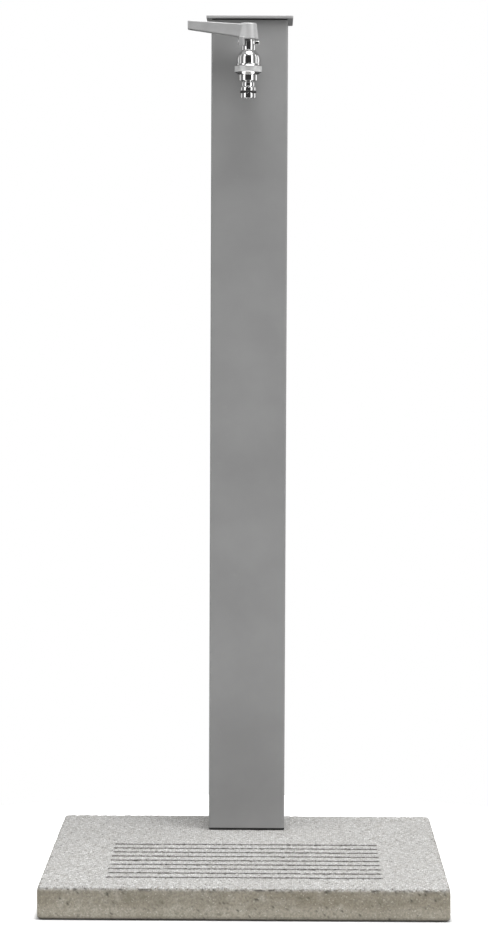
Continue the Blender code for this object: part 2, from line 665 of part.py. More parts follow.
def arm_mesh(name, root, inset, low_drop, edge):
    """The lever's arm as a tapered bar towards -X. An inset makes the smaller cutter of its hollow."""
    tip = -ARM_REACH + inset
    slope_low = (ARM_TIP_LOW - ARM_ROOT_LOW) / ARM_REACH
    slope_high = (ARM_TIP_HIGH - ARM_ROOT_HIGH) / ARM_REACH
    mesh_edit = bmesh.new()
    corners = []
    for x in (root, tip):
        share = -x / ARM_REACH
        half = ARM_ROOT_HALF + (ARM_TIP_HALF - ARM_ROOT_HALF) * share - inset
        low = ARM_ROOT_LOW - slope_low * x - low_drop
        high = ARM_ROOT_HIGH - slope_high * x - inset
        lean = ARM_TIP_LEAN * share
        corners.append([mesh_edit.verts.new((x, -half, low)), mesh_edit.verts.new((x, half, low)),
                        mesh_edit.verts.new((x + lean, half, high)),
                        mesh_edit.verts.new((x + lean, -half, high))])
    near, far = corners
    mesh_edit.faces.new(near)
    mesh_edit.faces.new(list(reversed(far)))
    for index in range(4):
        following = (index + 1) % 4
        mesh_edit.faces.new((near[index], far[index], far[following], near[following]))
    item = to_object(name, mesh_edit)
    if edge > 0:
        round_edges(item, edge, 2)
    return item


def make_lever(pivot):
    profile = [(0, BOSS_LOW), (BOSS_LOW_R - BOSS_EDGE, BOSS_LOW), (BOSS_LOW_R, BOSS_LOW + BOSS_EDGE),
               (BOSS_HIGH_R, BOSS_HIGH - BOSS_EDGE), (BOSS_HIGH_R - BOSS_EDGE, BOSS_HIGH),
               (0, BOSS_HIGH)]
    lever = turned("lever", profile, (0, 0, 0), FINE)
    arm = arm_mesh("lever_arm", 0.0, 0.0, 0.0, ARM_EDGE)
    arm_hollow = arm_mesh("lever_arm_hollow", -BOSS_LOW_R - ARM_SKIN, ARM_SKIN, BOSS_HEIGHT, 0.0)
    tab = block("lever_tab", (TAB_IN, -TAB_HALF, TAB_LOW), (TAB_OUT, TAB_HALF, BOSS_LOW + BOSS_WEB))
    tab.rotation_euler = (0, 0, TAB_ANGLE)
    join(lever, arm, tab)
    recess_high = square_low()
    web_high = BOSS_HIGH - SCREW_RECESS
    square_high = web_high - BOSS_WEB
    hole_r = LEVER_SCREW_R + GAP
    profile = [(0, 0), (TAB_IN, 0), (TAB_IN, BOSS_LOW), (BOSS_RECESS_R, BOSS_LOW),
               (BOSS_RECESS_R, recess_high), (hole_r, recess_high), (hole_r, web_high),
               (SCREW_RECESS_R, web_high), (SCREW_RECESS_R, BOSS_HIGH + BEYOND), (0, BOSS_HIGH + BEYOND)]
    core = turned("lever_core", profile, (0, 0, 0))
    square = prism("lever_square", square_outline(SQUARE_HALF + GAP), 0, square_high, (0, 0, 0))
    cut(lever, arm_hollow, core, square)
    paint(lever, (0.50, 0.50, 0.50), 0.35, 0.6)
    hang(pivot, lever, arm, arm_hollow, tab, core, square)


def lever_screw_seat():
    """Underside of the screw's head, on its washer in the lever's top recess."""
    return BOSS_HIGH - SCREW_RECESS + GAP + LEVER_WASHER + GAP


def lever_screw_low():
    return lever_screw_seat() - LEVER_SCREW_LENGTH


def make_lever_screw(pivot):
    seat = lever_screw_seat()
    low = lever_screw_low()
    head = seat + LEVER_SCREW_HEAD
    crown_r = LEVER_SCREW_HEAD_R - BOSS_EDGE
    profile = [(0, low), (LEVER_SCREW_R, low), (LEVER_SCREW_R, seat), (LEVER_SCREW_HEAD_R, seat),
               (LEVER_SCREW_HEAD_R, head - BOSS_EDGE), (crown_r, head), (0, head)]
    screw = turned("lever_screw", profile, (0, 0, 0), COARSE)
    slot = block("screw_slot", (-SCREW_SLOT_HALF, -BEYOND, head - SCREW_SLOT_DEPTH),
                 (SCREW_SLOT_HALF, BEYOND, head + BEYOND))
    cut(screw, slot)
    washer_low = seat - GAP - LEVER_WASHER
    washer = ring("lever_washer", LEVER_SCREW_R + GAP, LEVER_WASHER_R, washer_low,
                  washer_low + LEVER_WASHER, (0, 0, 0), COARSE)
    paint(screw, (0.72, 0.72, 0.70), 0.25, 1.0)
    paint(washer, (0.66, 0.66, 0.64), 0.35, 1.0)
    hang(pivot, screw, slot, washer)


# ---------------------------------------------------------------- hose nozzle

def make_nozzle():
    outlet = (TAP_X, NOZZLE_Y, WATER_Z)
    thread_r = OUTLET_R + GAP
    floor = -NOZZLE_FLOOR
    section = RING_SECTION_R
    groove_high = -RING_GROOVE + section + GAP
    groove_low = -RING_GROOVE - section - GAP
    ring_middle = TIP_R - section + RING_PROUD
    groove_r = ring_middle - section - GAP
    profile = [(thread_r, -COLLAR_TOP), (COLLAR_RIM_R, -COLLAR_TOP), (COLLAR_R, -GRIP_TOP),
               (COLLAR_R, -GRIP_LOW), (COLLAR_LOW_R, -COLLAR_LOW), (BARREL_R, -COLLAR_LOW),
               (BARREL_R, -BARREL_LOW), (NECK_R, -NECK_TOP), (NECK_R, -NECK_LOW), (TIP_R, -RIDGE_TOP),
               (TIP_R, groove_high), (groove_r, groove_high), (groove_r, groove_low),
               (TIP_R, groove_low), (TIP_R, -NOZZLE_END + TIP_EDGE), (TIP_R - TIP_EDGE, -NOZZLE_END),
               (NOZZLE_BORE_R, -NOZZLE_END), (NOZZLE_BORE_R, floor), (thread_r, floor)]
    nozzle = turned("hose_nozzle", profile, outlet, FINE)
    washer_low = floor + GAP
    washer = ring("outlet_washer", OUTLET_BORE_R, OUTLET_R - GAP, washer_low, washer_low + OUTLET_WASHER,
                  outlet)
    turns = [2 * math.pi * step / 8 for step in range(8)]
    section_points = [(ring_middle + section * math.cos(turn), -RING_GROOVE + section * math.sin(turn))
                      for turn in turns]
    oring = turned("nozzle_oring", section_points, outlet, MEDIUM)
    paint(nozzle, (0.80, 0.80, 0.80), 0.08, 1.0)
    paint(washer, (0.03, 0.03, 0.03), 0.8, 0.0)
    paint(oring, (0.02, 0.02, 0.02), 0.6, 0.0)


# ---------------------------------------------------------------- supply line inside the column

def make_elbow(name, z, socket_side, barb_side, reach):
    """A right-angle fitting on the column's middle: a socket along Y and a hose barb along Z.

    The sides are 1 or -1 along the axes. The reach is from the middle to the socket's mouth.
    """
    centre = (TAP_X, COLUMN_MID, z)

    def piece(part, radius, start, end, side, segments=COARSE, axis="Z"):
        low, high = sorted((side * start, side * end))
        return rod(f"{name}_{part}" if part else name, radius, low, high, centre, segments, axis)

    knuckle_r = ELBOW_LEG_R + GAP
    barb_end = ELBOW_LEG + BARB_LENGTH
    socket_floor = reach - ELBOW_SOCKET
    elbow = piece("", ELBOW_LEG_R, -OVERLAP, socket_floor + OVERLAP, socket_side, axis="Y")
    knuckle = piece("knuckle", knuckle_r, -knuckle_r - OVERLAP, knuckle_r + OVERLAP, 1)
    socket = piece("socket", ELBOW_SOCKET_R, socket_floor, reach, socket_side, MEDIUM, "Y")
    leg = piece("leg", ELBOW_LEG_R - GAP, OVERLAP, ELBOW_LEG, barb_side)
    barb = piece("barb", HOSE_BORE_R - GAP, ELBOW_LEG / 2, barb_end, barb_side)
    join(elbow, knuckle, socket, leg, barb)
    shoulder = socket_floor + SOCKET_SHOULDER
    room = piece("room", TAIL_R + GAP, shoulder, reach + BEYOND, socket_side, MEDIUM, "Y")
    run = piece("run", PIPE_BORE_R, -OVERLAP, reach, socket_side, axis="Y")
    rise = piece("rise", PIPE_BORE_R + GAP / 2, -2 * OVERLAP, barb_end + BEYOND, barb_side)
    cut(elbow, room, run, rise)
    paint(elbow, (0.70, 0.55, 0.25), 0.35, 1.0)


def make_supply_socket():
    """The threaded socket at the rear, where the water supply screws in."""
    rear = (TAP_X, COLUMN_REAR, SUPPLY_HEIGHT)
    head_low = SUPPLY_GASKET + 2 * GAP
    socket = prism("supply_socket", regular_outline(SUPPLY_FLATS), head_low, head_low + SUPPLY_HEAD,
                   rear, "Y")
    tail_end = -SUPPLY_SHANK - SUPPLY_TAIL
    shank = rod("supply_shank", SUPPLY_R, -SUPPLY_SHANK, head_low + OVERLAP, rear, axis="Y")
    tail = rod("supply_tail", TAIL_R, tail_end, -SUPPLY_SHANK + OVERLAP, rear, axis="Y")
    join(socket, shank, tail)
    mouth = head_low + SUPPLY_HEAD
    bore = rod("supply_bore", SUPPLY_BORE_R, mouth - SUPPLY_BORE, mouth + BEYOND, rear, axis="Y")
    run = rod("supply_run", PIPE_BORE_R, tail_end - BEYOND, mouth, rear, COARSE, "Y")
    cut(socket, bore, run)
    gasket = ring("supply_gasket", SUPPLY_R + GAP, SUPPLY_GASKET_R, GAP, GAP + SUPPLY_GASKET, rear,
                  axis="Y")
    washer_high = -COLUMN_WALL - GAP
    washer = ring("supply_washer", SUPPLY_R + GAP, SUPPLY_NUT_FLATS / 2, washer_high - WALL_WASHER,
                  washer_high, rear, axis="Y")
    nut_high = washer_high - WALL_WASHER - GAP
    nut = prism("supply_nut", regular_outline(SUPPLY_NUT_FLATS), nut_high - SUPPLY_NUT, nut_high, rear, "Y")
    cut(nut, rod("supply_nut_hole", SUPPLY_R + GAP, nut_high - SUPPLY_NUT - BEYOND, BEYOND, rear, axis="Y"))
    paint(socket, (0.70, 0.55, 0.25), 0.35, 1.0)
    paint(gasket, (0.03, 0.03, 0.03), 0.8, 0.0)
    paint(washer, (0.62, 0.62, 0.60), 0.4, 1.0)
    paint(nut, (0.55, 0.42, 0.18), 0.35, 1.0)


def make_clamp(name, z):
    """A band clamp round the hose, with its screw housing at the side."""
    place = (TAP_X, COLUMN_MID, z)
    inner = HOSE_R + GAP
    outer = inner + CLAMP_BAND
    half = CLAMP_WIDTH / 2
    clamp = ring(name, inner, outer, -half, half, place)
    lug = block(f"{name}_lug", (inner + CLAMP_BAND / 2, -CLAMP_LUG_HALF, -half + OVERLAP),
                (outer + CLAMP_LUG, CLAMP_LUG_HALF, half - OVERLAP), place)
    screw_place = (TAP_X + outer + CLAMP_LUG / 2, COLUMN_MID, z)
    screw = rod(f"{name}_screw", CLAMP_SCREW_R, -CLAMP_SCREW_HALF, CLAMP_SCREW_HALF, screw_place, COARSE, "Y")
    join(clamp, lug, screw)
    paint(clamp, (0.66, 0.66, 0.64), 0.3, 1.0)


def make_supply_line():
    """Elbows on the tap's tail and the supply's tail, with the hose and its clamps between them."""
    engaged = ELBOW_SOCKET - SOCKET_SHOULDER - GAP
    tap_tail = COLUMN_MID - (COLUMN_FACE + TAIL_LENGTH)
    supply_tail = COLUMN_REAR - SUPPLY_SHANK - SUPPLY_TAIL - COLUMN_MID
    make_elbow("tap_elbow", WATER_Z, -1, -1, tap_tail + engaged)
    make_elbow("supply_elbow", SUPPLY_HEIGHT, 1, 1, supply_tail + engaged)
    hose_low = SUPPLY_HEIGHT + ELBOW_LEG + GAP
    hose_high = WATER_Z - ELBOW_LEG - GAP
    hose = ring("riser_hose", HOSE_BORE_R, HOSE_R, hose_low, hose_high, (TAP_X, COLUMN_MID, 0), COARSE)
    paint(hose, (0.04, 0.04, 0.04), 0.6, 0.0)
    make_clamp("clamp_low", hose_low + CLAMP_OFFSET + CLAMP_WIDTH / 2)
    make_clamp("clamp_high", hose_high - CLAMP_OFFSET - CLAMP_WIDTH / 2)


def main():
    clear_scene()
    make_slab()
    make_foot()
    make_column()
    make_cap()
    make_tap_body()
    make_tap_inlet()
    make_wall_clamping()
    make_seats()
    make_stem_seals()
    pivot = pivot_empty()
    make_ball(pivot)
    make_stem(pivot)
    make_lever(pivot)
    make_lever_screw(pivot)
    make_nozzle()
    make_supply_socket()
    make_supply_line()
    weld_seams()
    bpy.context.view_layer.update()


main()
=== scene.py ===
import json
import math

import bmesh
import bpy
import numpy as np
from mathutils import Matrix, Vector, noise


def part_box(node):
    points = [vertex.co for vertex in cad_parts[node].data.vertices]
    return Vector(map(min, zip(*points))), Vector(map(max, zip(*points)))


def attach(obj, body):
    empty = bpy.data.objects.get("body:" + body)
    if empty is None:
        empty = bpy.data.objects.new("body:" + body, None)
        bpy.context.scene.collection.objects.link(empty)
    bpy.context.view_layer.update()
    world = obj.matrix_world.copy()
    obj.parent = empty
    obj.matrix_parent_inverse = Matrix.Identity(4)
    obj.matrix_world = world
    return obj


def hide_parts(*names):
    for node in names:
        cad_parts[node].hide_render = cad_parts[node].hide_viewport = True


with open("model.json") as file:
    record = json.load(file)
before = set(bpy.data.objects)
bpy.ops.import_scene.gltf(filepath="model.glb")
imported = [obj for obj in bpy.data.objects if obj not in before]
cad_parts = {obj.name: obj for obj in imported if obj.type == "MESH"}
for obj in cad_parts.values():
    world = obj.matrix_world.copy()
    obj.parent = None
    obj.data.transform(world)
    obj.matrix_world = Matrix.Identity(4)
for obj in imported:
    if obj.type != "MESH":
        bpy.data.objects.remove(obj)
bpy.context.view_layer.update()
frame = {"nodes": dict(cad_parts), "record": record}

# The looks of a garden water post: worn concrete slab, painted column and cap, chrome tap with its nozzle,
# and a cast lever. Sizes that the frame does not give are those of the CAD, in metres.

NODES = frame["nodes"]
SLOT_OF = {part["node"]: part["material_slot"] for part in frame["record"]["subparts"]}
GAP = 0.0003                 # between pieces that touch


# ------------------------------------------------------------------ places, from the CAD

def middle(node):
    """The centre of a CAD node's box."""
    low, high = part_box(node)
    return (Vector(low) + Vector(high)) / 2


SLAB_LOW, SLAB_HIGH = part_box("base_slab")
SLAB_MID = middle("base_slab")
SLAB_HALF = (SLAB_HIGH[0] - SLAB_LOW[0]) / 2
SLAB_THICK = SLAB_HIGH[2] - SLAB_LOW[2]
COLUMN_LOW, COLUMN_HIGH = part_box("column")
COLUMN_MID = middle("column")
COLUMN_HALF = (COLUMN_HIGH[0] - COLUMN_LOW[0]) / 2
CAP_LOW, CAP_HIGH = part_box("cap_plate")
CAP_MID = middle("cap_plate")
CAP_HALF = (CAP_HIGH[0] - CAP_LOW[0]) / 2
TAP_X, STEM_Y, WATER_Z = middle("valve_ball")
TAP_LOW, TAP_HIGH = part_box("tap_body")
NOZZLE_LOW, NOZZLE_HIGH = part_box("hose_nozzle")
NOZZLE_Y = middle("hose_nozzle")[1]
SUPPLY_Z = middle("supply_socket")[2]
LEVER_LOW, LEVER_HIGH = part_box("lever")


# ------------------------------------------------------------------ mesh helpers

def make_object(name, points, faces, material):
    """A smooth-shaded mesh object in the scene."""
    mesh = bpy.data.meshes.new(name)
    mesh.from_pydata([tuple(point) for point in points], [], [tuple(face) for face in faces])
    mesh.validate()
    mesh.update()
    mesh.materials.append(material)
    mesh.shade_smooth()
    item = bpy.data.objects.new(name, mesh)
    bpy.context.collection.objects.link(item)
    return item


def turn_faces_out(item, weld_distance=0.0):
    """Faces point outwards, after points closer than the weld distance become one."""
    edit = bmesh.new()
    edit.from_mesh(item.data)
    if weld_distance:
        bmesh.ops.remove_doubles(edit, verts=edit.verts, dist=weld_distance)
    bmesh.ops.recalc_face_normals(edit, faces=edit.faces)
    edit.to_mesh(item.data)
    edit.free()


def sharpen(item, degrees=32):
    """Edges sharper than this stay crisp under smooth shading."""
    edit = bmesh.new()
    edit.from_mesh(item.data)
    limit = math.radians(degrees)
    for edge in edit.edges:
        edge.smooth = len(edge.link_faces) == 2 and edge.calc_face_angle(0) < limit
    edit.to_mesh(item.data)
    edit.free()


def settle(item, nodes, body="post"):
    """The piece stands for these CAD nodes and moves with the body."""
    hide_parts(*nodes)
    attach(item, body)


def fillet(points, radii, steps=5):
    """The profile with every inner corner rounded. A radius of 0 leaves a corner as it is."""
    out = [points[0]]
    for index in range(1, len(points) - 1):
        here = Vector(points[index])
        before = Vector(points[index - 1]) - here
        after = Vector(points[index + 1]) - here
        radius = radii[index] if isinstance(radii, (list, tuple)) else radii
        if radius <= 0 or before.length < 1e-9 or after.length < 1e-9:
            out.append(points[index])
            continue
        cosine = max(-0.9999, min(0.9999, before.normalized().dot(after.normalized())))
        angle = math.acos(cosine)
        reach = min(radius / math.tan(angle / 2), before.length * 0.46, after.length * 0.46)
        start = here + before.normalized() * reach
        end = here + after.normalized() * reach
        for step in range(steps + 1):
            t = step / steps
            out.append(tuple(start * (1 - t) ** 2 + here * (2 * t * (1 - t)) + end * t ** 2))
    out.append(points[-1])
    return out


def ring_faces(rows, count, closed):
    """Quads between rows of points, with the last row joined to the first one when closed."""
    faces = []
    for row in range(rows if closed else rows - 1):
        next_row = (row + 1) % rows
        for step in range(count):
            following = (step + 1) % count
            faces.append((row * count + step, row * count + following,
                          next_row * count + following, next_row * count + step))
    return faces


def lathe(name, profile, place, axis, material, segments=96, shape=None, closed=False, crisp=32):
    """Turns (radius, height) about an axis. shape(angle, radius, height) may change a radius."""
    points = []
    for radius, height in profile:
        for step in range(segments):
            angle = 2 * math.pi * step / segments
            reach = shape(angle, radius, height) if shape and radius > 1e-6 else radius
            points.append((reach * math.cos(angle), reach * math.sin(angle), height))
    if axis == "Y":
        points = [(x, z, -y) for x, y, z in points]
    item = make_object(name, points, ring_faces(len(profile), segments, closed), material)
    turn_faces_out(item, 1e-7)
    item.location = place
    sharpen(item, crisp)
    return item


def hexagon(flats, above):
    """Makes the part of a turned blank that is wider than a radius hexagonal."""
    def shape(angle, radius, height):
        if radius <= above + 1e-5:
            return radius
        turn = (angle + math.pi / 6) % (math.pi / 3) - math.pi / 6
        return min(radius, flats / 2 / math.cos(turn))
    return shape


def rounded_square(half, corner, steps=8):
    """Outline of a square with round corners."""
    points = []
    for quarter in range(4):
        for step in range(steps + 1):
            angle = math.pi / 2 * (quarter + step / steps)
            centre_x = (half - corner) * (1 if quarter in (0, 3) else -1)
            centre_y = (half - corner) * (1 if quarter in (0, 1) else -1)
            points.append((centre_x + corner * math.cos(angle), centre_y + corner * math.sin(angle)))
    return points


def quarter_steps(steps=5):
    """Sine and cosine along a quarter turn."""
    turns = [math.pi / 2 * step / steps for step in range(steps + 1)]
    return [(math.sin(turn), math.cos(turn)) for turn in turns]


def loft(name, rings, material, place, closed=False):
    """Joins outlines of the same point count, given as (outline, height)."""
    count = len(rings[0][0])
    rows = len(rings)
    points = [(x, y, height) for outline, height in rings for x, y in outline]
    faces = ring_faces(rows, count, closed)
    if not closed:
        faces.append(tuple(reversed(range(count))))
        faces.append(tuple(range((rows - 1) * count, rows * count)))
    item = make_object(name, points, faces, material)
    turn_faces_out(item)
    item.location = place
    return item


def carve(item, *cutters):
    """Cuts the cutters out of the piece and removes them."""
    for cutter in cutters:
        modifier = item.modifiers.new(cutter.name, "BOOLEAN")
        modifier.operation = "DIFFERENCE"
        modifier.solver = "EXACT"
        modifier.object = cutter
    graph = bpy.context.evaluated_depsgraph_get()
    mesh = bpy.data.meshes.new_from_object(item.evaluated_get(graph))
    item.modifiers.clear()
    item.data = mesh
    for cutter in cutters:
        bpy.data.objects.remove(cutter, do_unlink=True)
    sharpen(item)


# ------------------------------------------------------------------ cast shapes from distances

EDGE = 0.0006                # usual rounding of a cast edge
CUT_EDGE = 0.0001            # rounding of what is drilled or milled
GRID_ROOM = 0.001            # of the grid past the piece's box
SETTLING_STEPS = 7           # that bring the points onto the surface
SETTLING_SHARE = 0.9         # of the way to it in each step


def smooth_union(first, second, blend):
    """Two distances joined, with a soft fillet about as wide as the blend."""
    share = np.clip(0.5 + 0.5 * (second - first) / blend, 0, 1)
    return second * (1 - share) + first * share - blend * share * (1 - share)


def cylinder_field(across, along, radius, low, high, edge):
    """Distance from a cylinder with rounded edges, given distances across and along its axis."""
    side = across - radius + edge
    end = np.maximum(low - along, along - high) + edge
    outside = np.hypot(np.maximum(side, 0), np.maximum(end, 0))
    return outside + np.minimum(np.maximum(side, end), 0) - edge


def rounded_corner(over):
    """Distance outside a box from how far a point is past each of its three sides."""
    return np.linalg.norm(np.maximum(over, 0), axis=-1) + np.minimum(over.max(axis=-1), 0)


def box_field(points, low, high, edge):
    """Distance from a box with rounded edges."""
    centre = (np.array(low) + np.array(high)) / 2
    half = (np.array(high) - np.array(low)) / 2 - edge
    return rounded_corner(np.abs(points - centre) - half) - edge


def gradient(field, points, step=1e-5):
    """Direction in which a distance field grows."""
    parts = []
    for axis in range(3):
        shift = np.zeros(3)
        shift[axis] = step
        parts.append((field(points + shift) - field(points - shift)) / (2 * step))
    return np.stack(parts, axis=-1)


def cast(name, field, box, cell, material):
    """A closed mesh on the zero surface of a distance field: one point in each grid cell that it crosses."""
    room = Vector((GRID_ROOM,) * 3)
    low, high = np.array(Vector(box[0]) - room), np.array(Vector(box[1]) + room)
    counts = np.ceil((high - low) / cell).astype(int) + 1
    axes = [low[axis] + cell * np.arange(counts[axis]) for axis in range(3)]
    grid = np.stack(np.meshgrid(*axes, indexing="ij"), axis=-1)
    inside = field(grid.reshape(-1, 3)).reshape(tuple(counts)) < 0
    corners = [inside[i:counts[0] - 1 + i, j:counts[1] - 1 + j, k:counts[2] - 1 + k]
               for i in (0, 1) for j in (0, 1) for k in (0, 1)]
    total = sum(corner.astype(int) for corner in corners)
    crossed = (total > 0) & (total < 8)
    cells = np.argwhere(crossed)
    index = -np.ones(crossed.shape, dtype=int)
    index[crossed] = np.arange(len(cells))
    points = low + (cells + 0.5) * cell
    for _ in range(SETTLING_STEPS):
        slope = gradient(field, points)
        steepness = np.maximum((slope ** 2).sum(axis=-1), 1e-6)
        points = points - slope * (field(points) / steepness)[:, None] * SETTLING_SHARE
    faces = []
    for axis in range(3):
        faces += faces_across(axis, inside, counts, index)
    item = make_object(name, points, faces, material)
    turn_faces_out(item)
    return item


def faces_across(axis, inside, counts, index):
    """A quad through each grid edge along this axis whose two ends lie on different sides of the surface."""
    one, two = [other for other in range(3) if other != axis]
    first = [slice(0, count) for count in counts]
    second = [slice(0, count) for count in counts]
    first[axis] = slice(0, counts[axis] - 1)
    second[axis] = slice(1, counts[axis])
    starts_inside = inside[tuple(first)]
    change = starts_inside != inside[tuple(second)]
    faces = []
    for place in np.argwhere(change):
        if min(place[one], place[two]) < 1:
            continue
        around = []
        for step_one, step_two in ((-1, -1), (0, -1), (0, 0), (-1, 0)):
            spot = place.copy()
            spot[one] += step_one
            spot[two] += step_two
            around.append(int(index[tuple(spot)]))
        if starts_inside[tuple(place)] == (axis == 1):
            around.reverse()
        faces.append(around)
    return faces


# ------------------------------------------------------------------ materials

class Look:
    """A node material, built with short calls."""

    def __init__(self, name):
        self.material = bpy.data.materials.new(name)
        self.material.use_nodes = True
        tree = self.material.node_tree
        self.nodes, self.links = tree.nodes, tree.links
        self.bsdf = self.nodes["Principled BSDF"]
        self.where = self.nodes.new("ShaderNodeTexCoord").outputs["Object"]

    def set(self, socket, value):
        if isinstance(value, bpy.types.NodeSocket):
            self.links.new(value, socket)
        elif isinstance(value, tuple) and len(value) == 3 and socket.type == "RGBA":
            socket.default_value = (*value, 1)
        else:
            socket.default_value = value

    def stretch(self, scale):
        node = self.nodes.new("ShaderNodeMapping")
        self.set(node.inputs["Vector"], self.where)
        node.inputs["Scale"].default_value = scale
        return node.outputs[0]

    def noise(self, scale, detail=3.0, rough=0.55, where=None):
        node = self.nodes.new("ShaderNodeTexNoise")
        self.set(node.inputs["Vector"], where or self.where)
        node.inputs["Scale"].default_value = scale
        node.inputs["Detail"].default_value = detail
        node.inputs["Roughness"].default_value = rough
        return node.outputs["Fac"]

    def cells(self, scale):
        node = self.nodes.new("ShaderNodeTexVoronoi")
        self.set(node.inputs["Vector"], self.where)
        node.inputs["Scale"].default_value = scale
        return node

    def split(self, value, kind="Color"):
        """The three channels of a colour, or with kind XYZ the three parts of a vector."""
        node = self.nodes.new("ShaderNodeSeparate" + kind)
        self.set(node.inputs[0], value)
        return node.outputs

    def ramp(self, value, *stops):
        node = self.nodes.new("ShaderNodeValToRGB")
        self.set(node.inputs[0], value)
        elements = node.color_ramp.elements
        while len(elements) < len(stops):
            elements.new(0.5)
        for element, (place, colour) in zip(elements, stops):
            element.position = place
            element.color = (*colour, 1) if isinstance(colour, tuple) else (colour,) * 3 + (1,)
        return node.outputs[0]

    def span(self, value, low, high, out_low, out_high):
        node = self.nodes.new("ShaderNodeMapRange")
        self.set(node.inputs["Value"], value)
        for key, number in (("From Min", low), ("From Max", high), ("To Min", out_low), ("To Max", out_high)):
            node.inputs[key].default_value = number
        return node.outputs[0]

    def mix(self, share, first, second):
        node = self.nodes.new("ShaderNodeMix")
        node.data_type = "RGBA"
        self.set(node.inputs[0], share)
        self.set(node.inputs[6], first)
        self.set(node.inputs[7], second)
        return node.outputs[2]

    def math(self, kind, first, second):
        node = self.nodes.new("ShaderNodeMath")
        node.operation = kind
        self.set(node.inputs[0], first)
        self.set(node.inputs[1], second)
        return node.outputs[0]

    def attribute(self, name):
        node = self.nodes.new("ShaderNodeAttribute")
        node.attribute_name = name
        return node.outputs["Fac"]

    def bump(self, height, distance, strength=1.0):
        node = self.nodes.new("ShaderNodeBump")
        self.set(node.inputs["Height"], height)
        node.inputs["Distance"].default_value = distance
        node.inputs["Strength"].default_value = strength
        return node.outputs[0]

    def finish(self, colour, rough, metallic, normal, specular=None):
        self.set(self.bsdf.inputs["Base Color"], colour)
        self.set(self.bsdf.inputs["Roughness"], rough)
        self.bsdf.inputs["Metallic"].default_value = metallic
        if specular is not None:
            self.bsdf.inputs["Specular IOR Level"].default_value = specular
        self.set(self.bsdf.inputs["Normal"], normal)
        return self.material


def plain_look(name, dark, light, wear, rough, metallic, blotch, grain, relief, worn, stretch=None):
    """A finish with soft blotches, fine grain, worn spots, uneven gloss and a fine relief."""
    look = Look(name)
    where = look.stretch(stretch) if stretch else look.where
    blotches = look.noise(blotch, 4, where=where)
    grains = look.noise(grain, 3, 0.6, where)
    colour = look.mix(look.span(blotches, 0.32, 0.68, 0, 1), dark, light)
    colour = look.mix(look.span(grains, 0.3, 0.7, 0, 0.22), colour, dark)
    scuffs = look.span(look.noise(blotch * 5, 6, 0.7), 0.62, 0.72, 0, worn)
    colour = look.mix(scuffs, colour, wear)
    gloss = look.span(look.noise(blotch * 2.3, 5, 0.6), 0.3, 0.7, rough[0], rough[1])
    return look.finish(colour, gloss, metallic, look.bump(grains, relief))


def concrete_look():
    """Exposed fine aggregate on top, and smoother cast sides with a paler lower band."""
    look = Look("concrete")
    top = look.attribute("top")
    stones = look.cells(430)
    stone_pick = look.split(stones.outputs["Color"])
    sand_pick = look.split(look.cells(900).outputs["Color"])
    stone = look.ramp(stone_pick[0], (0.0, (0.10, 0.098, 0.092)), (0.08, (0.24, 0.225, 0.20)),
                      (0.18, (0.42, 0.395, 0.355)), (0.38, (0.52, 0.51, 0.495)), (0.60, (0.59, 0.59, 0.585)),
                      (0.80, (0.78, 0.78, 0.775)), (0.95, (0.98, 0.98, 0.97)))
    sand = look.ramp(sand_pick[1], (0.0, (0.26, 0.25, 0.24)), (0.35, (0.52, 0.51, 0.49)),
                     (1.0, (0.76, 0.755, 0.745)))
    paste = look.span(stones.outputs["Distance"], 0.30, 0.60, 0, 1)
    ground = look.mix(paste, stone, sand)
    blotches = look.span(look.noise(9, 5, 0.6), 0.35, 0.7, 0, 0.30)
    ground = look.mix(blotches, ground, (0.50, 0.49, 0.475))
    side = look.ramp(look.noise(30, 7, 0.7), (0.30, (0.20, 0.182, 0.142)), (0.46, (0.265, 0.243, 0.194)),
                     (0.60, (0.315, 0.292, 0.240)), (0.76, (0.42, 0.392, 0.330)))
    wander = look.span(look.noise(18, 4), 0.3, 0.7, -0.004, 0.004)
    level = look.math("ADD", look.split(look.where, "XYZ")["Z"], wander)
    band = look.span(level, SLAB_THICK * 0.32, SLAB_THICK * 0.50, 0.50, 0)
    patches = look.span(look.noise(11, 3, 0.5), 0.40, 0.62, 0, 0.42)
    side = look.mix(patches, side, (0.235, 0.205, 0.150))
    side = look.mix(look.span(look.noise(75, 4, 0.7), 0.52, 0.70, 0, 0.45), side, (0.46, 0.44, 0.385))
    side = look.mix(band, side, (0.42, 0.392, 0.330))
    fines = look.mix(look.span(look.noise(420, 5, 0.8), 0.42, 0.64, 0, 0.60), side, (0.13, 0.12, 0.095))
    flecks = look.span(sand_pick[0], 0.94, 0.99, 0, 0.34)
    fines = look.mix(flecks, fines, (0.66, 0.64, 0.58))
    colour = look.mix(top, fines, ground)
    # Darkened by the slab's attribute: painted shade in the grooves, pits, chips and along the bottom edge.
    colour = look.mix(look.math("MULTIPLY", look.attribute("painted_shade"), 0.90), colour, (0.06, 0.056, 0.048))
    height = look.math("ADD", look.math("MULTIPLY", stones.outputs["Distance"], -0.6),
                       look.noise(1500, 3, 0.7))
    rough = look.span(look.noise(120, 4), 0.3, 0.7, 0.78, 0.95)
    return look.finish(colour, rough, 0.0, look.bump(height, 0.0006, 0.9), 0.2)


def chrome_look():
    """Mirror-like plating with a faint film and a few dull water spots."""
    look = Look("chrome")
    film = look.noise(60, 5, 0.6)
    colour = look.mix(look.span(film, 0.35, 0.7, 0, 1), (0.64, 0.64, 0.64), (0.72, 0.72, 0.715))
    spots = look.span(look.noise(420, 5, 0.75), 0.64, 0.72, 0, 0.3)
    colour = look.mix(spots, colour, (0.55, 0.54, 0.52))
    rough = look.math("ADD", look.span(film, 0.3, 0.7, 0.055, 0.11), look.math("MULTIPLY", spots, 0.4))
    return look.finish(colour, rough, 1.0, look.bump(look.noise(260, 3), 0.00002, 0.5))


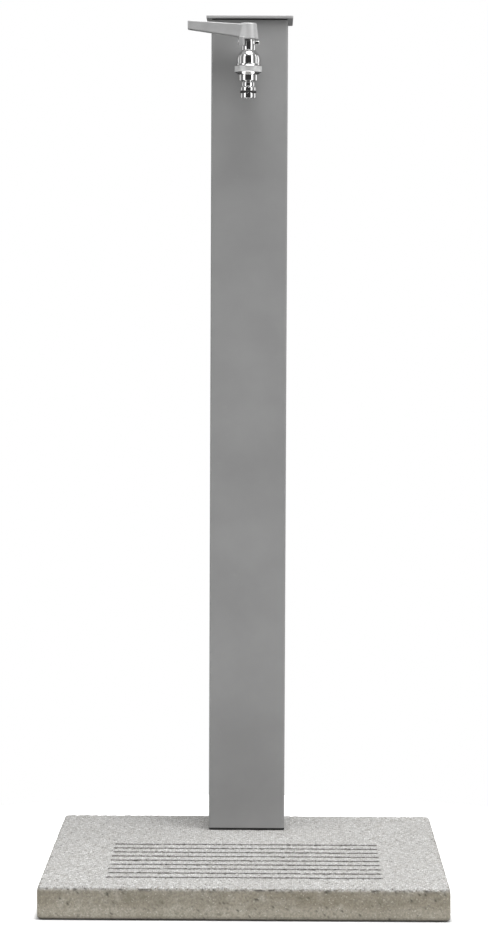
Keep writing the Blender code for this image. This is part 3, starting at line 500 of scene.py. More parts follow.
def build_looks():
    return {
        "concrete": concrete_look(),
        "column_paint": plain_look("column_paint", (0.29, 0.29, 0.29), (0.35, 0.35, 0.35), (0.44, 0.44, 0.44),
                                   (0.38, 0.52), 0.0, 9, 1400, 0.00003, 0.16),
        "cap_paint": plain_look("cap_paint", (0.36, 0.36, 0.36), (0.44, 0.44, 0.44), (0.55, 0.55, 0.55),
                                (0.34, 0.50), 0.0, 14, 1400, 0.00003, 0.2),
        "lever_metal": plain_look("lever_metal", (0.47, 0.47, 0.47), (0.57, 0.57, 0.57), (0.70, 0.70, 0.70),
                                  (0.40, 0.52), 0.35, 40, 1500, 0.00004, 0.3),
        "chrome": chrome_look(),
        "knurl": plain_look("knurled_chrome", (0.66, 0.66, 0.66), (0.84, 0.84, 0.835), (0.54, 0.54, 0.53),
                            (0.26, 0.38), 1.0, 60, 1500, 0.00006, 0.35),
        "brass": plain_look("brass", (0.60, 0.44, 0.17), (0.76, 0.60, 0.28), (0.42, 0.30, 0.14),
                            (0.24, 0.42), 1.0, 60, 1100, 0.00003, 0.4),
        "raw_steel": plain_look("raw_steel", (0.22, 0.22, 0.22), (0.34, 0.34, 0.33), (0.32, 0.19, 0.11),
                                (0.35, 0.6), 1.0, 30, 900, 0.00004, 0.5),
        "zinc_steel": plain_look("zinc_steel", (0.54, 0.54, 0.52), (0.68, 0.68, 0.66), (0.42, 0.42, 0.40),
                                 (0.28, 0.48), 1.0, 80, 1100, 0.00003, 0.4),
        "stainless": plain_look("stainless", (0.60, 0.60, 0.58), (0.72, 0.72, 0.70), (0.50, 0.50, 0.48),
                                (0.20, 0.36), 1.0, 60, 1200, 0.00002, 0.3, (1, 1, 8)),
        "rubber": plain_look("rubber", (0.014, 0.014, 0.014), (0.028, 0.028, 0.027), (0.07, 0.07, 0.065),
                             (0.55, 0.8), 0.0, 60, 1300, 0.00004, 0.3),
        "hose_rubber": plain_look("hose_rubber", (0.028, 0.028, 0.028), (0.05, 0.05, 0.05),
                                  (0.10, 0.10, 0.095), (0.5, 0.75), 0.0, 30, 900, 0.00005, 0.3),
        "black_plastic": plain_look("black_plastic", (0.035, 0.035, 0.035), (0.06, 0.06, 0.06),
                                    (0.12, 0.12, 0.12), (0.4, 0.6), 0.0, 40, 1300, 0.00004, 0.25),
        "white_plastic": plain_look("white_plastic", (0.78, 0.78, 0.74), (0.88, 0.88, 0.85),
                                    (0.66, 0.63, 0.55), (0.35, 0.55), 0.0, 40, 1300, 0.00003, 0.3),
    }


LOOKS = build_looks()


def dress_cad():
    """Every CAD node gets its slot's finish and softened edges."""
    for name, item in NODES.items():
        item.data.materials.clear()
        item.data.materials.append(LOOKS[SLOT_OF[name]])
        modifier = item.modifiers.new("edges", "BEVEL")
        modifier.width = 0.00025
        modifier.segments = 2
        modifier.limit_method = "ANGLE"
        modifier.angle_limit = math.radians(50)


# ------------------------------------------------------------------ slab

GROOVE_COUNT = 9
GROOVE_PITCH = 0.0243
GROOVE_HALF_LENGTH = 0.152
GROOVE_HALF_TOP = 0.0029
GROOVE_HALF_FLOOR = 0.0025
GROOVE_DEPTH = 0.0042
GROOVE_FRONT = 0.0593        # from the slab's front edge to the first groove's centre
GROOVE_SHADE = 0.0012         # width of the strip of painted shade beside a groove
SHADE_FADE = 0.0007
PLAN_CORNER = 0.0065
TOP_EDGE = 0.0026
CELL = 0.0021                # of the top's grid
CRUMBLE_WIDTH = 0.008        # of the worn strip along the top's edge


def groove_centres():
    return [SLAB_LOW[1] + GROOVE_FRONT + GROOVE_PITCH * index for index in range(GROOVE_COUNT)]


def groove_drop(x, y):
    """Depth of the grooves at a point of the top, with uneven walls, and how much painted shade lies in and
    beside them there.
    """
    wander = 0.0003 * noise.noise((x * 90, y * 90, 4.0)) + 0.0006 * noise.noise((x * 260, y * 260, 9.0))
    drop, painted_shade = 0.0, 0.0
    for centre in groove_centres():
        across = abs(y - centre) + wander
        if across > GROOVE_HALF_TOP + GROOVE_SHADE:
            continue
        wall = (GROOVE_HALF_TOP - across) / (GROOVE_HALF_TOP - GROOVE_HALF_FLOOR)
        end = min(1.0, max(0.0, (GROOVE_HALF_LENGTH - abs(x) + wander) / 0.0012))
        drop = max(drop, GROOVE_DEPTH * min(1.0, max(0.0, wall)) * end)
        # Painted shade in and beside each groove, broken up by noise, stands in for the shadow on the
        # groove's far wall and lips.
        broken = 0.78 + 0.55 * noise.noise((x * 420, y * 900, 2.0))
        beside = min(1.0, max(0.0, (GROOVE_HALF_TOP + GROOVE_SHADE - across) / SHADE_FADE))
        painted_shade = max(painted_shade, broken * end * beside)
    return drop, painted_shade


def pit(point, scale, seed, level):
    """A scattered hollow, from 0 outside it to 1 at its middle."""
    value = noise.noise((point[0] * scale + seed, point[1] * scale, point[2] * scale))
    return max(0.0, min(1.0, (value - level) / 0.25))


def stone_drop(point, top, edge_distance):
    """How far the cast surface lies inside its outline, and how much painted shade a pit or chip there gets.
    """
    x, y, z = point
    nearest = noise.voronoi((x * 330, y * 330, z * 330))[0][0]
    pebble = min(1.0, nearest * 1.5)
    fine = 0.5 + 0.5 * noise.noise((x * 900, y * 900, z * 900))
    hollow = pit(point, 260, 3.0, 0.36) if top > 0.5 else pit(point, 330, 7.0, 0.42)
    drop = top * (0.00008 + 0.00045 * pebble + 0.00020 * fine)
    drop += (1 - top) * (0.00016 * fine + 0.00010) + 0.0009 * hollow
    drop += 0.00030 * (0.5 + 0.5 * noise.noise((x * 22, y * 22, z * 22)))
    # The pits are darkened: painted shade in the hollows.
    dark = hollow
    if edge_distance < CRUMBLE_WIDTH:
        near = (1 - edge_distance / CRUMBLE_WIDTH) ** 1.3
        crumble = 0.5 + 0.5 * noise.noise((x * 230, y * 230, z * 160 + 5))
        chip = pit(point, 260, 11.0, 0.10)
        drop += near * (0.0016 * crumble ** 2 + 0.0030 * chip)
        # Painted shade in the chipped hollows along the top's edge.
        dark = max(dark, 0.75 * chip * min(1.0, near * 1.6))
    return drop, dark


def round_plan(x, y, half, corner):
    """Moves a point of a square so that the square's corners become arcs."""
    inner = half - corner
    over_x, over_y = abs(x) - inner, abs(y) - inner
    if over_x <= 0 or over_y <= 0:
        return x, y
    scale = max(over_x, over_y) / max(math.hypot(over_x, over_y), 1e-9)
    return (math.copysign(inner + over_x * scale, x), math.copysign(inner + over_y * scale, y))


def grid_lines(half, extra):
    """Even lines, with the extra ones in place of those that come too close to them."""
    lines = set(np.round(np.linspace(-half, half, int(2 * half / CELL) + 1), 6))
    for value in extra:
        if abs(value) < half - 0.0004:
            lines = {line for line in lines if abs(line - value) > CELL * 0.3 or abs(line) > half - 1e-6}
            lines.add(round(value, 6))
    return sorted(lines)


def slab_grid_lines(inner):
    """Grid lines in x and y that follow the grooves' walls and ends."""
    beside = [0.0010, 0.0025, 0.0029, 0.0036, 0.0044]
    steps = [-step for step in reversed(beside)] + beside
    past = (-0.0012, 0, 0.0006)
    ys = grid_lines(inner, [centre - SLAB_MID[1] + step for centre in groove_centres() for step in steps])
    xs = grid_lines(inner, [side * (GROOVE_HALF_LENGTH + step) for side in (-1, 1) for step in past])
    return xs, ys


def slab_levels():
    """Rings below the top as (inset from the outline, height, how much it looks like the top)."""
    levels = []
    steps = 5
    for step, (sine, cosine) in enumerate(quarter_steps(steps)[1:], 1):
        height = SLAB_THICK - TOP_EDGE * (1 - cosine)
        levels.append((TOP_EDGE * (1 - sine), height, 1.0 - step / steps * 0.55))
    count = 15
    for step in range(1, count):
        height = (SLAB_THICK - TOP_EDGE) * (1 - step / count) + 0.0030 * step / count
        levels.append((0.0, height, max(0.0, 0.25 - step * 0.2)))
    return levels + [(0.0003, 0.0022, 0.0), (0.0010, 0.0012, 0.0), (0.0020, 0.0005, 0.0), (0.0032, 0.0, 0.0)]


def slab_blank():
    """The smooth slab: points, what each is like as (top share, distance from the top's edge), and faces."""
    inner = SLAB_HALF - TOP_EDGE
    xs, ys = slab_grid_lines(inner)
    nx, ny = len(xs), len(ys)
    points, kinds = [], []
    for y in ys:
        for x in xs:
            points.append((*round_plan(x, y, inner, PLAN_CORNER - TOP_EDGE), SLAB_THICK))
            kinds.append((1.0, inner - max(abs(x), abs(y)) + TOP_EDGE))
    faces = [(j * nx + i, j * nx + i + 1, (j + 1) * nx + i + 1, (j + 1) * nx + i)
             for j in range(ny - 1) for i in range(nx - 1)]
    rim = list(range(nx))
    rim += [j * nx + nx - 1 for j in range(1, ny)]
    rim += [(ny - 1) * nx + i for i in range(nx - 2, -1, -1)]
    rim += [j * nx for j in range(ny - 2, 0, -1)]
    rim_places = [(xs[i % nx], ys[i // nx]) for i in rim]
    previous = rim
    for inset, height, top in slab_levels():
        half = SLAB_HALF - inset
        scale = half / inner
        row = list(range(len(points), len(points) + len(rim)))
        for x, y in rim_places:
            points.append((*round_plan(x * scale, y * scale, half, max(PLAN_CORNER - inset, 0.001)), height))
            kinds.append((top, SLAB_THICK - height + inset))
        for index in range(len(rim)):
            following = (index + 1) % len(rim)
            faces.append((previous[index], row[index], row[following], previous[following]))
        previous = row
    faces.append(tuple(reversed(previous)))
    return points, kinds, faces


def make_slab():
    """The blank is worn inwards: grooves, stone relief, pits and chipped edges, with painted shade in the
    grooves, pits and chips and along the bottom edge.
    """
    points, kinds, faces = slab_blank()
    item = make_object("slab_stone", points, faces, LOOKS["concrete"])
    item.location = (SLAB_MID[0], SLAB_MID[1], SLAB_LOW[2])
    mesh = item.data
    normals = np.zeros(len(points) * 3, dtype=np.float32)
    mesh.vertex_normals.foreach_get("vector", normals)
    normals = normals.reshape(-1, 3)
    painted_shade = np.zeros(len(points), dtype=np.float32)
    moved = np.array(points)
    for index, (point, (top, distance)) in enumerate(zip(points, kinds)):
        drop, dark = stone_drop(point, top, distance)
        if top == 1.0 and point[2] == SLAB_THICK:
            groove, groove_shade = groove_drop(point[0], point[1] + SLAB_MID[1])
            moved[index] -= (0, 0, groove + drop * (1.0 if groove < 0.001 else 0.6))
            # Painted shade in the grooves, over the weaker painted shade of the top's pits.
            dark = max(dark * 0.35, groove_shade)
        else:
            # Painted shade along the bottom of the sides, where the slab meets the floor.
            if point[2] < 0.0024:
                dark = max(dark, min(1.0, (0.0026 - point[2]) / 0.0010))
            moved[index] -= normals[index] * drop * min(1.0, point[2] / 0.002)
        painted_shade[index] = dark
    tops = np.array([top for top, _ in kinds], dtype=np.float32)
    mesh.vertices.foreach_set("co", moved.astype(np.float32).ravel())
    mesh.attributes.new("top", "FLOAT", "POINT").data.foreach_set("value", tops)
    mesh.attributes.new("painted_shade", "FLOAT", "POINT").data.foreach_set("value", painted_shade)
    mesh.update()
    settle(item, ["base_slab"])


# ------------------------------------------------------------------ column and cap

COLUMN_WALL = 0.0025
COLUMN_CORNER = 0.0024
COLUMN_EDGE = 0.0003
COLUMN_SPANS = 40
CAP_CORNER = 0.0018
CAP_EDGE = 0.0006
TAIL_R = 0.0103              # of the pieces that pass through the column's walls, inside it
SHANK_R = 0.0130             # of the supply socket in the column's rear wall


def drill(name, radius, wall_y, height):
    """A cutter for a hole through a wall of the column."""
    profile = [(0, -0.01), (radius, -0.01), (radius, 0.01), (0, 0.01)]
    return lathe(name, profile, (TAP_X, wall_y, height), "Y", LOOKS["column_paint"], 64)


def make_column():
    """A square tube with round corners, open at both ends, with holes for the tap and the supply."""
    low, high = COLUMN_LOW[2], COLUMN_HIGH[2]
    outer = rounded_square(COLUMN_HALF, COLUMN_CORNER)
    outer_end = rounded_square(COLUMN_HALF - COLUMN_EDGE, COLUMN_CORNER - 0.0002)
    inner = rounded_square(COLUMN_HALF - COLUMN_WALL, 0.0008)
    plain = high - low - 2 * COLUMN_EDGE
    rings = [(inner, low), (outer_end, low)]
    rings += [(outer, low + COLUMN_EDGE + plain * step / COLUMN_SPANS) for step in range(COLUMN_SPANS + 1)]
    rings += [(outer_end, high), (inner, high)]
    item = loft("column_tube", rings, LOOKS["column_paint"], (COLUMN_MID[0], COLUMN_MID[1], 0), closed=True)
    carve(item, drill("tap_hole", TAIL_R + GAP, COLUMN_LOW[1], WATER_Z),
          drill("supply_hole", SHANK_R + GAP, COLUMN_HIGH[1], SUPPLY_Z))
    settle(item, ["column"])


def make_cap():
    """A flat lid with rounded edges, above and below."""
    low, high = CAP_LOW[2], CAP_HIGH[2]
    rings = []
    for sine, cosine in quarter_steps():
        inset = CAP_EDGE * (1 - sine)
        rings.append((rounded_square(CAP_HALF - inset, CAP_CORNER - inset), low + CAP_EDGE * (1 - cosine)))
    for sine, cosine in quarter_steps():
        inset = CAP_EDGE * (1 - cosine)
        rings.append((rounded_square(CAP_HALF - inset, CAP_CORNER - inset), high - CAP_EDGE * (1 - sine)))
    item = loft("cap_lid", rings, LOOKS["cap_paint"], (CAP_MID[0], CAP_MID[1], 0))
    sharpen(item, 50)
    settle(item, ["cap_plate"])


# ------------------------------------------------------------------ tap

# Lengths along y run from the stem's axis and heights from the water axis
HOUSING_R = (TAP_HIGH[0] - TAP_LOW[0]) / 2
HOUSING_SKIN = HOUSING_R - 0.0002
HOUSING_REAR = TAP_HIGH[1] - STEM_Y
SPOUT_FRONT = NOZZLE_Y - STEM_Y
WATERWAY_R = 0.0040
CHAMBER_R = 0.0084
CHAMBER_FRONT = -0.0086
BRIDGE_R = 0.0064
SPOUT_R = 0.0106
SPOUT_LOW = -0.0085
OUTLET_R = 0.01305
OUTLET_TOP = -0.0078
OUTLET_LOW = TAP_LOW[2] - WATER_Z
OUTLET_BORE_R = 0.0075
OUTLET_BORE_TOP = 0.0045
TOWER_R = 0.0080
TOWER_TOP = TAP_HIGH[2] - WATER_Z
STOP_IN = 0.004
STOP_OUT = 0.0125
STOP_HALF = 0.0052
PACKING_R = 0.0064
PACKING_LOW = TOWER_TOP - 0.0080
STEM_FLANGE_R = 0.0062
STEM_FLANGE_TOP = 0.0108
STEM_R = 0.0048              # of the holes that the stem passes
BEYOND = 0.01                # a cut's length past the surface that it opens


def body_field(points):
    """The tap's casting: ball housing, bridge, domed spout, stem tower and stops, less its hollows."""
    x, y, z = points[:, 0] - TAP_X, points[:, 1] - STEM_Y, points[:, 2] - WATER_Z
    spout_y = points[:, 1] - NOZZLE_Y
    from_water, from_stem, from_outlet = np.hypot(x, z), np.hypot(x, y), np.hypot(x, spout_y)
    ball = np.sqrt(x ** 2 + y ** 2 + z ** 2) - HOUSING_SKIN
    barrel = cylinder_field(from_water, y, HOUSING_SKIN, -0.002, HOUSING_REAR, 0.0012)
    dome = np.sqrt(x ** 2 + spout_y ** 2 + np.maximum(z, 0) ** 2) - SPOUT_R
    dome = np.maximum(dome, SPOUT_LOW - z)
    bridge = cylinder_field(from_water, y, BRIDGE_R, SPOUT_FRONT, 0.0, 0.0005)
    tower = cylinder_field(from_stem, z, TOWER_R, 0.0, TOWER_TOP, 0.0007)
    stops = box_field(np.stack([np.abs(x), y, z], axis=-1), (STOP_IN, -STOP_HALF, TOWER_TOP - 0.0045),
                      (STOP_OUT, STOP_HALF, TOWER_TOP - 0.0005), 0.0007)
    thread = cylinder_field(from_outlet, z, OUTLET_R, OUTLET_LOW, OUTLET_TOP, 0.0005)
    shape = smooth_union(ball, barrel, 0.0008)
    shape = smooth_union(shape, smooth_union(bridge, dome, 0.0020), 0.0016)
    shape = smooth_union(shape, tower, 0.0014)
    shape = smooth_union(shape, stops, 0.0012)
    shape = np.minimum(shape, thread)
    hollows = (
        cylinder_field(from_water, y, CHAMBER_R, CHAMBER_FRONT, HOUSING_REAR + BEYOND, CUT_EDGE),
        cylinder_field(from_water, y, WATERWAY_R, SPOUT_FRONT, 0.0, CUT_EDGE),
        cylinder_field(from_outlet, z, OUTLET_BORE_R, OUTLET_LOW - BEYOND, OUTLET_BORE_TOP, CUT_EDGE),
        cylinder_field(from_stem, z, PACKING_R, PACKING_LOW, TOWER_TOP + BEYOND, CUT_EDGE),
        cylinder_field(from_stem, z, STEM_FLANGE_R, 0.0, STEM_FLANGE_TOP, CUT_EDGE),
        cylinder_field(from_stem, z, STEM_R, 0.0, TOWER_TOP, CUT_EDGE))
    return np.maximum(shape, -np.minimum.reduce(hollows))


def make_tap_body():
    item = cast("tap_casting", body_field, (TAP_LOW, TAP_HIGH), 0.00042, LOOKS["chrome"])
    settle(item, ["tap_body"])


def make_inlet():
    """The piece between the housing and the column: plug, hexagon, wall flange and tail."""
    low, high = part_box("tap_inlet")
    start, end = low[1] - STEM_Y, high[1] - STEM_Y
    flats, flange_r, plug_r = 0.0240, 0.0130, 0.0081
    gasket, flange = 0.0020, 0.0054
    hex_low = HOUSING_REAR + GAP
    flange_high = COLUMN_LOW[1] - STEM_Y - gasket - 2 * GAP
    flange_low = flange_high - flange
    corner = flats / math.sqrt(3)
    profile = [(WATERWAY_R, start), (plug_r, start), (plug_r, hex_low), (corner - 0.0012, hex_low),
               (corner, hex_low + 0.0007), (corner, flange_low - 0.0007), (corner - 0.0012, flange_low),
               (flange_r - 0.0006, flange_low), (flange_r, flange_low + 0.0006),
               (flange_r, flange_high - 0.0004), (flange_r - 0.0004, flange_high), (TAIL_R, flange_high),
               (TAIL_R, end - 0.0006), (TAIL_R - 0.0006, end), (WATERWAY_R, end)]
    item = lathe("tap_inlet_hex", profile, (TAP_X, STEM_Y, WATER_Z), "Y", LOOKS["chrome"], 144,
                 hexagon(flats, flange_r), closed=True, crisp=28)
    settle(item, ["tap_inlet"])


def make_ring(node, name, axis, slot, inner):
    """A ring in the CAD ring's box, with rounded edges."""
    low, high = (Vector(corner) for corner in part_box(node))
    centre = (low + high) / 2
    outer = (high - low)[0] / 2
    along = "XYZ".index(axis)
    start, end = low[along] - centre[along], high[along] - centre[along]
    corners = [(inner, start), (outer, start), (outer, end), (inner, end)]
    profile = fillet(corners[-1:] + corners + corners[:1], 0.0003, 3)[1:-1]
    item = lathe(name, profile, centre, axis, LOOKS[slot], 96, closed=True, crisp=50)
    settle(item, [node])


# ------------------------------------------------------------------ hose nozzle

GRIP_HIGH, GRIP_LOW = -0.0093, -0.0159
GRIP_INNER_R = 0.0150        # what is wider than this between the grip's heights is knurled
KNURL_POINTS = 84
KNURL_DEPTH = 0.00034
KNURL_PITCH_R = 0.0159
KNURL_FADE = 0.0003


def knurl(angle, radius, height):
    """Diamond points cut into the collar's grip."""
    if not (GRIP_LOW < height < GRIP_HIGH) or radius < GRIP_INNER_R:
        return radius
    around = angle * KNURL_POINTS / (2 * math.pi)
    lean = KNURL_POINTS * height / KNURL_PITCH_R / (2 * math.pi)
    one = abs(((around + lean) % 1) * 2 - 1)
    two = abs(((around - lean) % 1) * 2 - 1)
    fade = min(1.0, (height - GRIP_LOW) / KNURL_FADE, (GRIP_HIGH - height) / KNURL_FADE)
    return radius - KNURL_DEPTH * fade * min(1.0, max(one, two) * 1.25)


def make_nozzle():
    """From the collar on the outlet's thread down to the hose tip, with heights from the water axis."""
    top, end = NOZZLE_HIGH[2] - WATER_Z, NOZZLE_LOW[2] - WATER_Z
    collar = (NOZZLE_HIGH[0] - NOZZLE_LOW[0]) / 2
    rim_r, grip_r = collar - 0.0019, collar - 0.0002
    shoulder_r, shoulder = 0.0122, -0.0192
    barrel_r, barrel_high, barrel_low = 0.0109, -0.0194, -0.0258
    neck_r, neck_high, neck_low = 0.0075, -0.0279, -0.0324
    tip_r, tip_high = 0.00905, -0.0337
    groove_r, groove_high, groove_low = 0.0072, -0.0374, -0.0404
    thread_r, floor, bore_r = 0.01335, -0.0156, 0.0052
    upper = [(thread_r, top), (rim_r, top), (rim_r, GRIP_HIGH + 0.0009), (grip_r, GRIP_HIGH + 0.0003)]
    grip = [(collar, GRIP_HIGH - (GRIP_HIGH - GRIP_LOW) * step / 40) for step in range(41)]
    lower = [(grip_r, GRIP_LOW - 0.0004, 0), (shoulder_r, shoulder, 0.0009), (barrel_r, barrel_high, 0.0002),
             (barrel_r, barrel_low, 0.0006), (neck_r, neck_high, 0.0009), (neck_r, neck_low, 0.0009),
             (tip_r, tip_high, 0.0006), (tip_r, groove_high, 0.0002), (groove_r, groove_high, 0),
             (groove_r, groove_low, 0), (tip_r, groove_low, 0.0002), (tip_r, end, 0.0011),
             (bore_r, end, 0.0007), (bore_r, floor, 0), (thread_r, floor, 0), (thread_r, top, 0)]
    outline = [(radius, height) for radius, height, _ in lower]
    roundings = [rounding for _, _, rounding in lower]
    profile = fillet(upper, 0.0003, 3) + grip + fillet(outline, roundings, 6)[:-1]
    item = lathe("nozzle_turned", profile, (TAP_X, NOZZLE_Y, WATER_Z), "Z", LOOKS["chrome"], 504, knurl,
                 closed=True, crisp=38)
    item.data.materials.append(LOOKS["knurl"])
    for face in item.data.polygons:
        x, y, z = face.center
        if GRIP_LOW < z < GRIP_HIGH and math.hypot(x, y) > GRIP_INNER_R:
            face.material_index = 1
    settle(item, ["hose_nozzle"])


def make_oring():
    """A round rubber ring in the nozzle's groove."""
    low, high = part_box("nozzle_oring")
    centre = middle("nozzle_oring")
    section = (high[2] - low[2]) / 2
    outer = (high[0] - low[0]) / 2
    profile = [(outer - section + section * math.cos(2 * math.pi * step / 16),
                section * math.sin(2 * math.pi * step / 16)) for step in range(16)]
    item = lathe("oring_round", profile, centre, "Z", LOOKS["rubber"], 96, closed=True, crisp=80)
    settle(item, ["nozzle_oring"])


# ------------------------------------------------------------------ supply socket

SOCKET_THREADS = 8
THREAD_PITCH = 0.0013
THREAD_DEPTH = 0.0007


def make_supply_socket():
    """A hexagonal head behind the column with a threaded bore, and heights from the column's rear face."""
    low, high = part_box("supply_socket")
    rear = COLUMN_HIGH[1]
    head_low, head_high, tail_end = 0.0021, high[1] - rear, low[1] - rear
    flats, bore_r, pipe_r, shank_end = 0.0300, 0.0094, 0.0045, -0.0130
    corner = flats / math.sqrt(3)
    floor = head_high - 0.0150
    profile = [(SHANK_R, head_low), (corner - 0.0014, head_low), (corner, head_low + 0.0008),
               (corner, head_high - 0.0008), (corner - 0.0016, head_high), (bore_r + 0.0006, head_high),
               (bore_r, head_high - 0.0006)]
    for step in range(SOCKET_THREADS):
        root = head_high - 0.0010 - THREAD_PITCH * step
        profile += [(bore_r, root), (bore_r - THREAD_DEPTH, root - THREAD_PITCH / 2)]
    profile += [(bore_r, floor), (pipe_r, floor), (pipe_r, tail_end), (TAIL_R, tail_end),
                (TAIL_R, shank_end), (SHANK_R, shank_end)]
    item = lathe("supply_hex", profile, (TAP_X, rear, SUPPLY_Z), "Y", LOOKS["brass"], 144,
                 hexagon(flats, SHANK_R), closed=True, crisp=28)
    settle(item, ["supply_socket"])


# ------------------------------------------------------------------ lever

# Heights from the water axis. The arm's sizes change evenly from its root to its tip.
ARM_REACH = TAP_X - LEVER_LOW[0]
ARM_LOW, ARM_LOW_RISE = 0.0253, 0.0104
ARM_HIGH, ARM_HIGH_RISE = 0.0414, 0.0041
ARM_HALF, ARM_HALF_GROWTH = 0.0070, 0.0018
ARM_EDGE = 0.0010
ARM_SKIN = 0.0024            # of the arm, which is hollow and open at its top
BOSS_R = 0.0116
BOSS_TAPER = 0.0024
BOSS_LOW, BOSS_HIGH = 0.0242, 0.0430
TAB_ANGLE = math.radians(225)
TAB_LOW_CORNER = (0.0092, -0.0035, 0.0162)
TAB_HIGH_CORNER = (0.0128, 0.0035, 0.0270)
GLAND_RECESS_R, GLAND_RECESS_TOP = 0.0084, 0.0257
SCREW_HOLE_R = 0.0023
SCREW_RECESS_R, SCREW_RECESS = 0.0060, 0.0040
SQUARE_HALF, SQUARE_TOP = 0.00345, 0.0350
ABOVE = 0.06                 # a height above the whole lever


def lever_field(points):
    """The cast handle: a tapering boss on the stem, a hollow arm that rises to its tip, and a stop tab."""
    x, y, z = points[:, 0] - TAP_X, points[:, 1] - STEM_Y, points[:, 2] - WATER_Z
    from_stem = np.hypot(x, y)
    lean = BOSS_TAPER * (z - BOSS_LOW) / (BOSS_HIGH - BOSS_LOW)
    boss = cylinder_field(from_stem + lean, z, BOSS_R, BOSS_LOW, BOSS_HIGH, 0.0012) * 0.99
    share = np.clip(-x / ARM_REACH, 0, 1)
    low = ARM_LOW + ARM_LOW_RISE * share
    high = ARM_HIGH + ARM_HIGH_RISE * share
    half_width = ARM_HALF + ARM_HALF_GROWTH * share
    arm_over = np.stack([np.maximum(-ARM_REACH - x, x) + ARM_EDGE,
                         np.abs(y) - half_width + ARM_EDGE,
                         np.abs(z - (low + high) / 2) - (high - low) / 2 + ARM_EDGE], axis=-1)
    shape = smooth_union(boss, rounded_corner(arm_over) - ARM_EDGE, 0.0030)
    outwards = x * math.cos(TAB_ANGLE) + y * math.sin(TAB_ANGLE)
    beside = -x * math.sin(TAB_ANGLE) + y * math.cos(TAB_ANGLE)
    tab = box_field(np.stack([outwards, beside, z], axis=-1), TAB_LOW_CORNER, TAB_HIGH_CORNER, EDGE)
    shape = smooth_union(shape, tab, 0.0008)
    trough_over = np.stack([np.maximum(-ARM_REACH + ARM_SKIN - x, x + BOSS_R + ARM_SKIN),
                            np.abs(y) - half_width + ARM_SKIN,
                            z - high + ARM_SKIN], axis=-1)
    square = box_field(np.stack([x, y, z], axis=-1), (-SQUARE_HALF, -SQUARE_HALF, 0.0),
                       (SQUARE_HALF, SQUARE_HALF, SQUARE_TOP), CUT_EDGE)
    cuts = (
        rounded_corner(trough_over),
        cylinder_field(from_stem, z, GLAND_RECESS_R, 0.0, GLAND_RECESS_TOP, CUT_EDGE),
        cylinder_field(from_stem, z, SCREW_HOLE_R, 0.0, ABOVE, CUT_EDGE),
        cylinder_field(from_stem, z, SCREW_RECESS_R, BOSS_HIGH - SCREW_RECESS, ABOVE, CUT_EDGE),
        square)
    return np.maximum(shape, -np.minimum.reduce(cuts))


def make_lever():
    item = cast("lever_casting", lever_field, (LEVER_LOW, LEVER_HIGH), 0.00045, LOOKS["lever_metal"])
    settle(item, ["lever"], "lever_set")


# ------------------------------------------------------------------ stage

FLOOR_R = 0.58
FLOOR_RINGS = (0.12, 0.24, 0.36, 0.48, FLOOR_R)
FLOOR_SIDES = 96
FLOOR_DROP = 0.0004          # under the slab's underside


def softbox(name, place, aim, width, height, power):
    """A rectangular area light that the camera does not see."""
    data = bpy.data.lights.new(name, "AREA")
    data.shape = "RECTANGLE"
    data.size, data.size_y = width, height
    data.energy = power
    item = bpy.data.objects.new(name, data)
    item.location = place
    item.rotation_euler = (Vector(aim) - Vector(place)).to_track_quat("-Z", "Y").to_euler()
    item.visible_camera = False
    bpy.context.collection.objects.link(item)


def floor_look():
    """White, and lit up a little away from the slab, so that it meets the white background."""
    look = Look("floor_white")
    grain = look.noise(300, 4)
    colour = look.mix(grain, (0.86, 0.86, 0.86), (0.90, 0.90, 0.90))
    axes = look.split(look.where, "XYZ")
    reach = look.math("MAXIMUM", look.math("ABSOLUTE", axes["X"], 0.0), look.math("ABSOLUTE", axes["Y"], 0.0))
    near = look.span(reach, SLAB_HALF + 0.0005, SLAB_HALF + 0.006, 0.0, 0.62)
    glow = look.math("ADD", near, look.span(reach, SLAB_HALF + 0.02, 0.62, 0.0, 0.5))
    look.set(look.bsdf.inputs["Emission Color"], (1, 1, 1))
    look.set(look.bsdf.inputs["Emission Strength"], glow)
    rough = look.span(grain, 0.3, 0.7, 0.85, 0.95)
    return look.finish(colour, rough, 0.0, look.bump(grain, 0.00005, 0.3), 0.1)


def make_floor():
    """A round floor just under the slab."""
    points = [(0, 0, 0)]
    for radius in FLOOR_RINGS:
        for step in range(FLOOR_SIDES):
            turn = 2 * math.pi * step / FLOOR_SIDES
            points.append((radius * math.cos(turn), radius * math.sin(turn), 0))
    faces = [(0, 1 + step, 1 + (step + 1) % FLOOR_SIDES) for step in range(FLOOR_SIDES)]
    for ring in range(len(FLOOR_RINGS) - 1):
        for step in range(FLOOR_SIDES):
            first = 1 + ring * FLOOR_SIDES + step
            second = 1 + ring * FLOOR_SIDES + (step + 1) % FLOOR_SIDES
            faces.append((first, first + FLOOR_SIDES, second + FLOOR_SIDES, second))
    item = make_object("floor", points, faces, floor_look())
    item.location = (SLAB_MID[0], SLAB_MID[1], SLAB_LOW[2] - FLOOR_DROP)


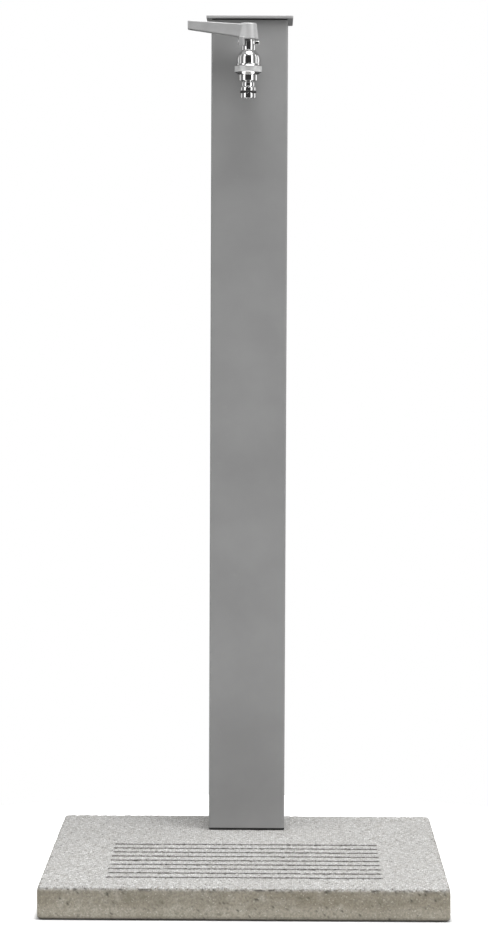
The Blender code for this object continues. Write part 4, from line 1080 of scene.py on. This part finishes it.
def make_world():
    """A white backdrop for the camera, and a dim room, lighter at the sides and above, for all else."""
    world = bpy.data.worlds.new("studio")
    bpy.context.scene.world = world
    world.use_nodes = True
    nodes, links = world.node_tree.nodes, world.node_tree.links
    nodes.clear()

    def share(value, low, high, out_low, out_high):
        node = nodes.new("ShaderNodeMapRange")
        node.interpolation_type = "SMOOTHSTEP"
        for key, number in (("From Min", low), ("From Max", high), ("To Min", out_low), ("To Max", out_high)):
            node.inputs[key].default_value = number
        links.new(value, node.inputs["Value"])
        return node.outputs[0]

    backdrop = nodes.new("ShaderNodeBackground")
    backdrop.inputs["Color"].default_value = (1, 1, 1, 1)
    backdrop.inputs["Strength"].default_value = 1.0
    room = nodes.new("ShaderNodeBackground")
    axes = nodes.new("ShaderNodeSeparateXYZ")
    links.new(nodes.new("ShaderNodeTexCoord").outputs["Generated"], axes.inputs[0])
    sideways = nodes.new("ShaderNodeMath")
    sideways.operation = "ABSOLUTE"
    links.new(axes.outputs["X"], sideways.inputs[0])
    total = nodes.new("ShaderNodeMath")
    total.operation = "ADD"
    links.new(share(sideways.outputs[0], 0.40, 0.85, 0.06, 0.34), total.inputs[0])
    links.new(share(axes.outputs["Z"], 0.35, 0.85, 0.0, 0.50), total.inputs[1])
    links.new(total.outputs[0], room.inputs["Strength"])
    mix = nodes.new("ShaderNodeMixShader")
    links.new(nodes.new("ShaderNodeLightPath").outputs["Is Camera Ray"], mix.inputs[0])
    links.new(room.outputs[0], mix.inputs[1])
    links.new(backdrop.outputs[0], mix.inputs[2])
    links.new(mix.outputs[0], nodes.new("ShaderNodeOutputWorld").inputs[0])


def make_lights():
    """Two keys and two rims stand beside the post, so that the chrome shows the dark between them."""
    aim = (TAP_X, 0.10, 0.72)
    softbox("left_key", (-1.50, -1.18, 1.32), aim, 0.75, 2.1, 10.5)
    softbox("right_key", (1.50, -1.18, 1.32), aim, 0.75, 2.1, 12.8)
    softbox("left_rim", (-1.66, 0.92, 0.85), aim, 0.80, 2.0, 3.5)
    softbox("right_rim", (1.66, 0.92, 0.85), aim, 0.90, 2.0, 7.0)
    softbox("top_box", (0.30, -0.50, 2.6), (0.0, 0.0, 0.0), 1.7, 1.4, 45)


def make_camera():
    place = (0.0282, -3.3709, 0.6756)
    yaw, tilt_down, roll = 0.0094, 0.0616, 0.0041
    data = bpy.data.cameras.new("camera")
    data.sensor_width = 36
    data.lens = 111.97
    data.clip_end = 60
    item = bpy.data.objects.new("camera", data)
    turn = Matrix.Rotation(yaw, 4, "Z") @ Matrix.Rotation(math.pi / 2 - tilt_down, 4, "X")
    item.matrix_world = Matrix.Translation(place) @ turn @ Matrix.Rotation(roll, 4, "Z")
    bpy.context.collection.objects.link(item)
    bpy.context.scene.camera = item


def main():
    view = bpy.context.scene.view_settings
    view.view_transform = "Standard"
    view.look = "None"
    dress_cad()
    make_slab()
    make_column()
    make_cap()
    make_tap_body()
    make_inlet()
    make_ring("tap_gasket", "tap_gasket_round", "Y", "rubber", TAIL_R + GAP)
    make_ring("gland_nut", "gland_round", "Z", "chrome", STEM_R)
    make_nozzle()
    make_oring()
    make_supply_socket()
    make_lever()
    make_floor()
    make_world()
    make_lights()
    make_camera()


main()
